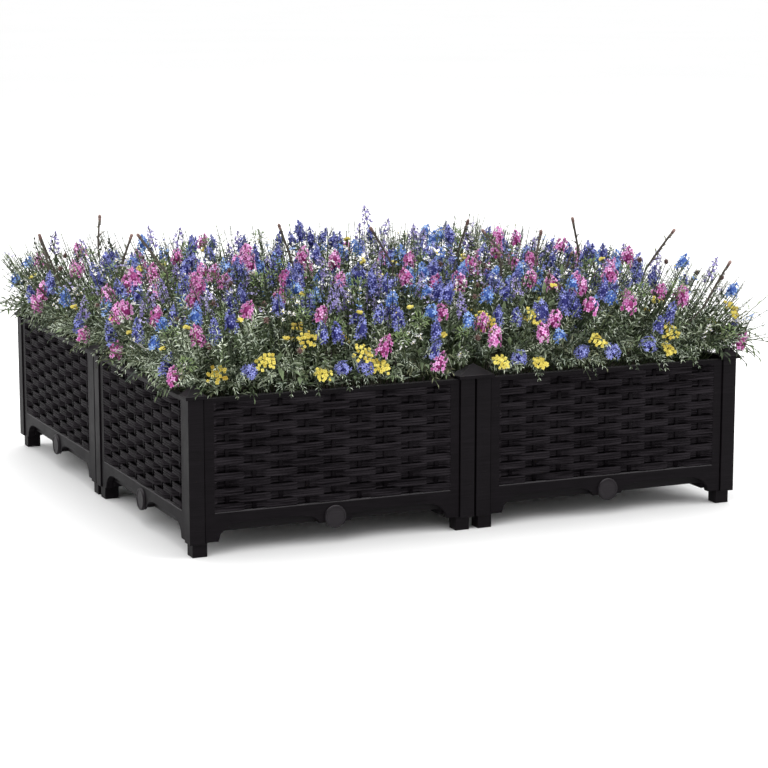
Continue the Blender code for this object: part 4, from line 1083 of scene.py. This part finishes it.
# The heads and leaves that the solid has, found by the same draws
def solidPlant(clump, detail, cell, kind, rng):
    look = kinds[kind]
    word, radius = look["word"], look["radius"]
    x, y = crownPlace(cell)
    crown = Vector((x, y, planting["middle"]))
    heads = []
    for spotX, spotY in headSpots(cell, look["heads"], rng):
        length = rng.uniform(*look["length"])
        away = Vector((spotX - x, spotY - y, 0))
        tip = Vector((spotX, spotY, rng.uniform(*look["tip"]))) + away * rng.uniform(*planting["lean"])
        tip = within(cell, tip, radius + planting["gap"])
        axis = (away * planting["fan"] + upward).normalized()
        heads.append((within(cell, tip - axis * length, radius + planting["gap"]), tip))
    for number in range(planting["lowLeaves"] + planting["highLeaves"]):
        low = number < planting["lowLeaves"]
        count = planting["lowLeaves"] if low else planting["highLeaves"]
        angle = 2 * math.pi * (number + 0.5 * (not low) + rng.uniform(-0.2, 0.2)) / count
        far = Vector((math.cos(angle), math.sin(angle), 0))
        root = crown + far * planting["leafRoot"]
        reach = bed["reach"] if low else rng.uniform(*planting["highReach"])
        end = within(cell, root + far * reach, 0.010)
        end.z = rng.uniform(*planting["lowTip" if low else "highTip"])
        leafyStem(clump, detail, onSoil(x, y), root + upward * 0.02, end, "leafGreen", leaf=0.028, width=0.36,
                  pairs=6)
    for number, (base, tip) in enumerate(heads):
        axis = tip - base
        if word in spikes:
            base = tip - (axis * 0.5 + upward * (axis.length * 0.5)) * 0.64
        elif word == "twig":
            base = tip - (axis * 0.4 + upward * (axis.length * 0.6)) * 0.9
        middle = (base + tip) / 2
        if word == "yarrow":
            inner = max(abs(tip.x), abs(tip.y)) < 0.375
            yarrowHead(clump, detail, base, tip, radius * (0.72 if inner else 1.0), count=12 if inner else 21)
        elif word == "white":
            starHead(clump, detail, middle, (tip - base).normalized(), radius)
        elif word == "twig" and number in (0, 3):
            budTwig(clump, detail, base - upward * 0.012, tip - upward * 0.012, radius)
        elif word == "twig":
            base, tip = base - upward * 0.034, tip - upward * 0.034
            budStem(clump, detail, base, tip)
        elif word == "feather":
            featherSpray(clump, detail, base, middle, tip, "leafGrey", leaflet=0.014, pairs=12, start=0.0)
        else:
            spikeHead(clump, detail, base, tip, radius, word)
        root = crown + (base - Vector((x, y, base.z))) * 0.22
        growStem(clump, onSoil(x, y), root, base, 0.0012, 3, chance=detail.random())
    return [(base + tip) / 2 for base, tip in heads]


# The heads that the photograph shows one by one
def shownPlants(clump, detail, cell, taken):
    for word, spots in shownHeads.items():
        for spot in spots:
            centre = Vector(spot) / 1000
            if inside(cell, centre):
                centre.z = min(centre.z, canopy(centre.x, centre.y) + 0.002)
                plantHead(clump, detail, word, centre)
                taken.append(centre)
    for low, high in shownTwigs:
        low, high = Vector(low) / 1000, Vector(high) / 1000
        if inside(cell, low):
            high.z = min(high.z, limits["highest"])
            base = low - (high - low) * 0.3
            budTwig(clump, detail, base, high, 0.0055)
            foot, knee = rooted(base)
            growStem(clump, foot, knee, base, 0.0012, 3, "twigBrown")


# Places evenly shaken over a cell
def shaken(cell, pitch, shake, detail):
    lowX, highX, lowY, highY = cell
    columns = max(1, round((highX - lowX) / pitch))
    rows = max(1, round((highY - lowY) / pitch))
    for row in range(rows):
        for column in range(columns):
            x = lowX + (highX - lowX) * (column + 0.5 + detail.uniform(-shake, shake)) / columns
            y = lowY + (highY - lowY) * (row + 0.5 + detail.uniform(-shake, shake)) / rows
            yield tuple(min(max(part, -limits["leaf"]), limits["leaf"]) for part in (x, y))


growth = dict(headPitch=0.0310, headSpace=0.0155, sinks=(0.010, 0.046), leafPitch=0.0230, fringeStep=0.0139,
              outerFrom=0.372, cornerFrom=0.335, featherShare=0.56, leafyShare=0.92)
weights = {"blue": 16, "sky": 9, "lavender": 7, "pink": 7, "white": 12, "seed": 5, "fluff": 10, "twig": 1,
           "button": 3, "budStem": 4, "spire": 11, "speck": 40}


# The rest of the flowers, more of them than can be told apart in the photograph
def looseHeads(clump, detail, cell, taken):
    for x, y in shaken(cell, growth["headPitch"], 0.42, detail):
        word = detail.choices(list(weights), list(weights.values()))[0]
        centre = Vector((x, y, canopy(x, y) - detail.uniform(*growth["sinks"])))
        apart = all((centre.xy - other.xy).length > growth["headSpace"] for other in taken)
        if apart and not hidesCap(*centre):
            plantHead(clump, detail, word, centre)
            taken.append(centre)


# Foliage at all heights between the flowers, more and larger towards the rim and the corners
def foliage(clump, detail, cell):
    for x, y in shaken(cell, growth["leafPitch"], 0.5, detail):
        outer = max(abs(x), abs(y)) > growth["outerFrom"]
        corner = min(abs(x), abs(y)) > growth["cornerFrom"]
        edge = outer or corner
        swell = 1.22 if edge else 1.0
        shift = 0.009 * edge
        for turn in range(1 + outer + 3 * corner):
            high = canopy(x, y) + (0.004 if outer else 0.002)
            low = 0.209 if outer else 0.222
            z = high - (high - low) * detail.random() ** (1.0 if turn % 2 else 2.2)
            if hidesCap(x, y, z):
                continue
            top = Vector((x + detail.uniform(-shift, shift), y + detail.uniform(-shift, shift), z))
            foot, knee = rooted(top, 0.88)
            share = detail.random() * (growth["leafyShare"] if edge else 1.0)
            if share < growth["featherShare"]:
                finish = "leafGrey" if detail.random() < 0.62 else "leafGreen"
                featherSpray(clump, detail, foot, knee, top, finish, swell * detail.uniform(0.0065, 0.0098),
                             pairs=7, start=0.46 if outer else 0.55)
            elif share < growth["leafyShare"]:
                finish = detail.choices(("leafGreen", "leafOlive", "leafGrey"), (45, 25, 30))[0]
                leafyStem(clump, detail, foot, knee, top, finish, swell * detail.uniform(0.0080, 0.0125),
                          width=0.27, pairs=7, start=0.42 if outer else 0.50)
            else:
                lean = Vector((top.x - foot.x, top.y - foot.y, 0)) * 2
                bladeTuft(clump, detail, foot, lean, z - 0.20)


# Foot, knee and top in millimetres of the olive leaves past the right front corner and of the dark ones
# past the left corners
cornerStems = (
    ((340, -352, 184), (376, -388, 266), (434, -400, 214)),
    ((345, -340, 184), (384, -360, 258), (440, -372, 222)),
    ((345, -350, 184), (382, -392, 270), (424, -420, 208)),
    ((345, -345, 184), (388, -384, 276), (437, -404, 232)),
    ((340, -350, 184), (372, -398, 268), (398, -428, 204)),
    ((345, -350, 184), (378, -380, 276), (414, -408, 238)),
    ((345, -335, 184), (392, -362, 262), (436, -388, 206)),
    ((330, -352, 184), (352, -396, 260), (372, -424, 212)),
    ((-352, 340, 184), (-390, 372, 262), (-432, 402, 222)),
    ((-352, 330, 184), (-392, 352, 255), (-436, 374, 214)),
    ((-352, -330, 184), (-394, -348, 250), (-428, -362, 206)))
rim = dict(capHalf=0.031, cornerFrom=0.366, sills=60, sillHalf=0.350)


# Stems that bend over all four rims, left out at the caps, with small leaves along the wall's top
def fringeStems():
    rng = random.Random(900)
    stems = []
    count = round(0.80 / growth["fringeStep"])
    for side in range(4):
        turn = Matrix.Rotation(side * quarterTurn, 3, "Z")
        for index in range(count * 2):
            along = -0.40 + 0.40 * (index + rng.uniform(0.1, 0.9)) / count
            reach = rng.uniform(0.404, 0.428)
            drop = rng.uniform(0.197, 0.250)
            kind = rng.choices(("feather", "leafy", "blade"), (58, 34, 8))[0]
            if rim["capHalf"] <= abs(along) <= rim["cornerFrom"]:
                foot = Vector((along * 0.95, -0.350, rootHeight))
                knee = Vector((along, -0.392, rng.uniform(0.238, 0.252)))
                top = Vector((along + rng.uniform(-0.014, 0.014), -reach, drop))
                stems.append((kind, turn @ foot, turn @ knee, turn @ top))
        for index in range(rim["sills"]):
            along = rim["sillHalf"] * (2 * (index + rng.random()) / rim["sills"] - 1)
            if abs(along) > rim["capHalf"] + 0.001:
                top = Vector((along, -rng.uniform(0.374, 0.384), rng.uniform(0.203, 0.214)))
                foot = Vector((along, -0.352, rootHeight))
                stems.append(("sill", turn @ foot, turn @ ((foot + top) / 2), turn @ top))
    for spots in cornerStems:
        stems.append(("olive", *(Vector(spot) / 1000 for spot in spots)))
    return stems


def fringe(clump, detail, cell, stems):
    for kind, foot, knee, top in stems:
        if not inside(cell, within((-0.43, 0.43, -0.43, 0.43), top, 0)):
            continue
        stem = (clump, detail, foot, knee, top)
        if kind == "feather":
            finish = "leafGrey" if detail.random() < 0.8 else "leafGreen"
            featherSpray(*stem, finish, detail.uniform(0.0062, 0.0092), pairs=9, start=0.22, drop=0.30)
        elif kind == "leafy":
            finish = detail.choices(("leafOlive", "leafGreen", "leafGrey"), (40, 30, 30))[0]
            leafyStem(*stem, finish, detail.uniform(0.0095, 0.0130), width=0.24, pairs=7, start=0.26,
                      drop=0.28)
        elif kind == "olive":
            leafyStem(*stem, "leafGreen", detail.uniform(0.0125, 0.0160), width=0.27, pairs=7, start=0.50,
                      drop=0.20, shape="leaf")
        elif kind == "sill":
            growStem(clump, foot, knee, top, 0.0006, 1, chance=detail.random())
            outward = Vector((top.x - foot.x, top.y - foot.y, 0)).normalized()
            side = Vector((-outward.y, outward.x, 0))
            for _ in range(4):
                way = outward * detail.uniform(0.3, 1.0) + side * detail.uniform(-0.9, 0.9)
                way = (way + upward * detail.uniform(0.15, 0.80)).normalized()
                long = detail.uniform(0.011, 0.017)
                finish = detail.choices(("leafGrey", "leafPale", "leafGreen"), (50, 18, 32))[0]
                clump.add("leaflet", finish, top + side * detail.uniform(-0.004, 0.004), way,
                          (long * 0.27, long), detail.uniform(-0.6, 0.6), detail.random(), detail.random())
        else:
            growStem(clump, foot, knee, top, 0.0008, 4, "leafGrey", detail.random())
            for _ in range(3):
                way = Vector((top.x - knee.x, top.y - knee.y, detail.uniform(-0.02, 0.02))).normalized()
                side = acrossOf(way)[0] * detail.uniform(-0.5, 0.5)
                size = (0.0024, detail.uniform(0.014, 0.024))
                clump.add("blade", "leafGrey", (knee + top) / 2, (way + side).normalized(), size,
                          chance=detail.random(), rise=0.8)


def dressPlanting():
    stems = fringeStems()
    total = 0
    for index, (cell, kind, node) in enumerate(plantingCells()):
        clump = Clump()
        detail = random.Random(500 + index)
        taken = solidPlant(clump, detail, cell, kind, random.Random(planting["seed"] + index))
        shownPlants(clump, detail, cell, taken)
        looseHeads(clump, detail, cell, taken)
        foliage(clump, detail, cell)
        fringe(clump, detail, cell, stems)
        total += clump.write("planting." + node, kind, node)
    print("planting:", total, "triangles")

# Where the photograph shows single heads, in millimetres: x, y and height
shownHeads = {
    "seed": (
        (-3, -162, 312), (-15, -308, 312), (54, -294, 312), (188, -247, 312), (-3, -414, 260),
        (-247, -141, 312), (-371, -397, 270), (-287, -379, 296), (350, -219, 357), (350, -294, 361),
        (369, -346, 319), (397, -365, 313), (422, -381, 264)),
    "fluff": (
        (-23, -407, 267), (-78, -392, 284), (-172, -94, 312), (-235, -375, 300), (-114, -410, 266),
        (298, -169, 312), (269, -369, 302), (381, -414, 243), (-276, 62, 312), (-401, 1, 276)),
    "pink": (
        (-230, -22, 312), (-163, 56, 312), (-158, -116, 312), (-14, 47, 312), (-94, -162, 312),
        (90, 10, 312), (-304, -357, 308), (-209, -374, 299), (-379, -375, 282), (-136, -414, 259),
        (-41, -381, 294), (9, -399, 279), (-58, -424, 233), (140, -98, 312), (251, -70, 312),
        (305, -210, 312), (350, -185, 326), (185, -348, 310), (295, -371, 301), (326, -381, 295),
        (407, -404, 230), (117, -399, 277), (22, -412, 262), (93, -413, 262), (53, -237, 312),
        (-374, 171, 300), (-387, -26, 290), (-213, 183, 312), (-388, -243, 288), (-425, 266, 241),
        (-425, 20, 230), (-425, -130, 230), (-425, -368, 232)),
    "yarrow": (
        (-365, -411, 238), (-300, -412, 250), (-222, -412, 228), (-142, -412, 232), (31, -412, 227),
        (90, -411, 221), (178, -411, 246), (286, -411, 229)),
    "roundBlue": (
        (-323, -412, 237), (-195, -411, 232), (-164, -411, 233), (60, -410, 229), (153, -411, 231),
        (199, -412, 229), (254, -412, 235)),
    "button": (
        (-51, -407, 269), (-82, -370, 302), (-192, -266, 312), (21, 23, 312), (-105, -380, 294),
        (-320, -372, 300), (351, -322, 329), (412, -375, 275), (-400, 314, 278), (-411, 68, 264),
        (-406, -106, 271), (-305, 82, 312), (-412, -186, 263), (-413, -326, 262)),
    "lavender": (
        (-13, -257, 312), (7, -305, 312), (-9, -375, 299), (271, 184, 312), (200, 344, 322),
        (154, 344, 314), (237, 306, 312), (-55, 345, 312), (351, 227, 311), (350, -267, 370),
        (386, -358, 326), (350, -173, 357), (-354, 349, 322), (-199, 343, 322), (-318, 318, 312),
        (-155, 343, 323)),
    "sky": (
        (-56, -381, 294), (189, -161, 312), (-9, -396, 281), (38, -356, 308), (77, 179, 312),
        (-184, -221, 312), (-99, -352, 310), (-370, -345, 302), (-196, 8, 312), (88, 51, 312),
        (352, -338, 351), (420, -379, 297), (-393, 360, 292), (-406, 118, 270), (-399, -58, 278),
        (-411, -294, 263), (-300, 129, 312)),
    "white": (
        (-24, -425, 244), (-181, -53, 312), (-253, -364, 305), (-94, -407, 269), (-130, -292, 312),
        (348, -421, 250), (244, -379, 295), (-323, 107, 312), (-416, 140, 259), (-418, -228, 254),
        (-408, -386, 246)),
    "blue": (
        (138, 50, 312), (142, -31, 312), (69, -122, 312), (140, -240, 312), (71, -348, 310),
        (37, -391, 285), (62, -395, 283), (97, -392, 285), (-60, -405, 272), (-66, -422, 248),
        (-160, 263, 312), (-106, 138, 312), (-15, 117, 312), (-70, 141, 312), (-163, 182, 312),
        (-54, -126, 312), (-65, -207, 312), (-258, -346, 311), (-358, -384, 288), (-334, -376, 298),
        (-217, -396, 280), (-198, -400, 278), (-162, -397, 281), (-130, -380, 296), (-100, -18, 312),
        (344, 49, 311), (277, -86, 312), (349, -8, 311), (351, -112, 320), (143, -378, 297),
        (315, -318, 312), (213, -360, 306), (423, -380, 246), (351, -63, 319), (105, -389, 288),
        (295, -401, 275), (-363, 114, 306), (-374, -42, 300), (-368, -103, 303), (-380, -291, 296),
        (-142, 322, 312), (-420, 297, 252), (-425, 45, 242), (-422, -100, 248), (-425, -341, 242),
        (-314, -138, 312)),
}
shownTwigs = (
    ((-113, -21, 332), (-126, -15, 385)),
    ((2, -111, 332), (-20, -101, 386)),
    ((309, -108, 332), (302, -104, 382)),
    ((331, -287, 332), (358, -299, 382)),
    ((354, -403, 292), (379, -414, 341)),
    ((-404, 164, 293), (-426, 174, 354)),
    ((-321, -63, 332), (-349, -51, 375)),
    ((-348, 22, 331), (-337, 17, 366)),
    ((135, -66, 332), (147, -71, 379)),
    ((189, -90, 332), (167, -80, 360)),
)

dressPlanting()

# Camera at the photograph's viewing angle
camera = dict(place=(-1.3628, -3.1777, 0.7436), pitch=quarterTurn - 0.175, turn=-0.417, lens=111.45)


def setCamera():
    data = bpy.data.cameras.new("camera")
    data.lens = camera["lens"]
    data.sensor_width = 36.0
    holder = bpy.data.objects.new("camera", data)
    holder.location = camera["place"]
    holder.rotation_euler = (camera["pitch"], 0, camera["turn"])
    bpy.context.scene.collection.objects.link(holder)
    bpy.context.scene.camera = holder


studio = dict(sky=1.1, aim=Vector((0, 0, 0.2)), floorRadius=60.0, softboxes=(
    dict(place=(-2.6, -3.0, 3.0), size=2.6, watts=58),
    dict(place=(2.8, -2.2, 2.2), size=2.4, watts=45),
    dict(place=(0.2, 0.6, 3.4), size=3.0, watts=60),
    dict(place=(0.5, 3.4, 2.2), size=2.6, watts=35)))


def setStudio():
    scene = bpy.context.scene
    world = bpy.data.worlds.new("studio")
    world.use_nodes = True
    background = world.node_tree.nodes["Background"]
    background.inputs["Color"].default_value = (1, 1, 1, 1)
    background.inputs["Strength"].default_value = studio["sky"]
    scene.world = world
    for number, box in enumerate(studio["softboxes"]):
        data = bpy.data.lights.new("softbox" + str(number), "AREA")
        data.size = box["size"]
        data.energy = box["watts"]
        light = bpy.data.objects.new("softbox" + str(number), data)
        light.location = box["place"]
        light.rotation_euler = (studio["aim"] - light.location).to_track_quat("-Z", "Y").to_euler()
        scene.collection.objects.link(light)
    paper = Finish("paleFloor", {"Specular IOR Level": 0.1, "Roughness": 0.8})
    paper.wear(paper.blend(paper.noise(0.6, 2.0), (0.89, 0.89, 0.89), (0.92, 0.92, 0.92)))
    bm = bmesh.new()
    place = Matrix.Translation((0, 0, -0.0002))
    bmesh.ops.create_circle(bm, cap_ends=True, segments=64, radius=studio["floorRadius"], matrix=place)
    floor = placePiece("floor", toMesh("floor", bm), [paper.material])
    scene.view_settings.view_transform = "Standard"


setCamera()
setStudio()

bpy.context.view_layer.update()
cadMeshes = {item.data for item in cadNodes.values()}
ownMeshes = {item.data for item in bpy.context.scene.objects if item.type == "MESH"} - cadMeshes
print("added triangles:", sum(len(face.vertices) - 2 for mesh in ownMeshes for face in mesh.polygons))
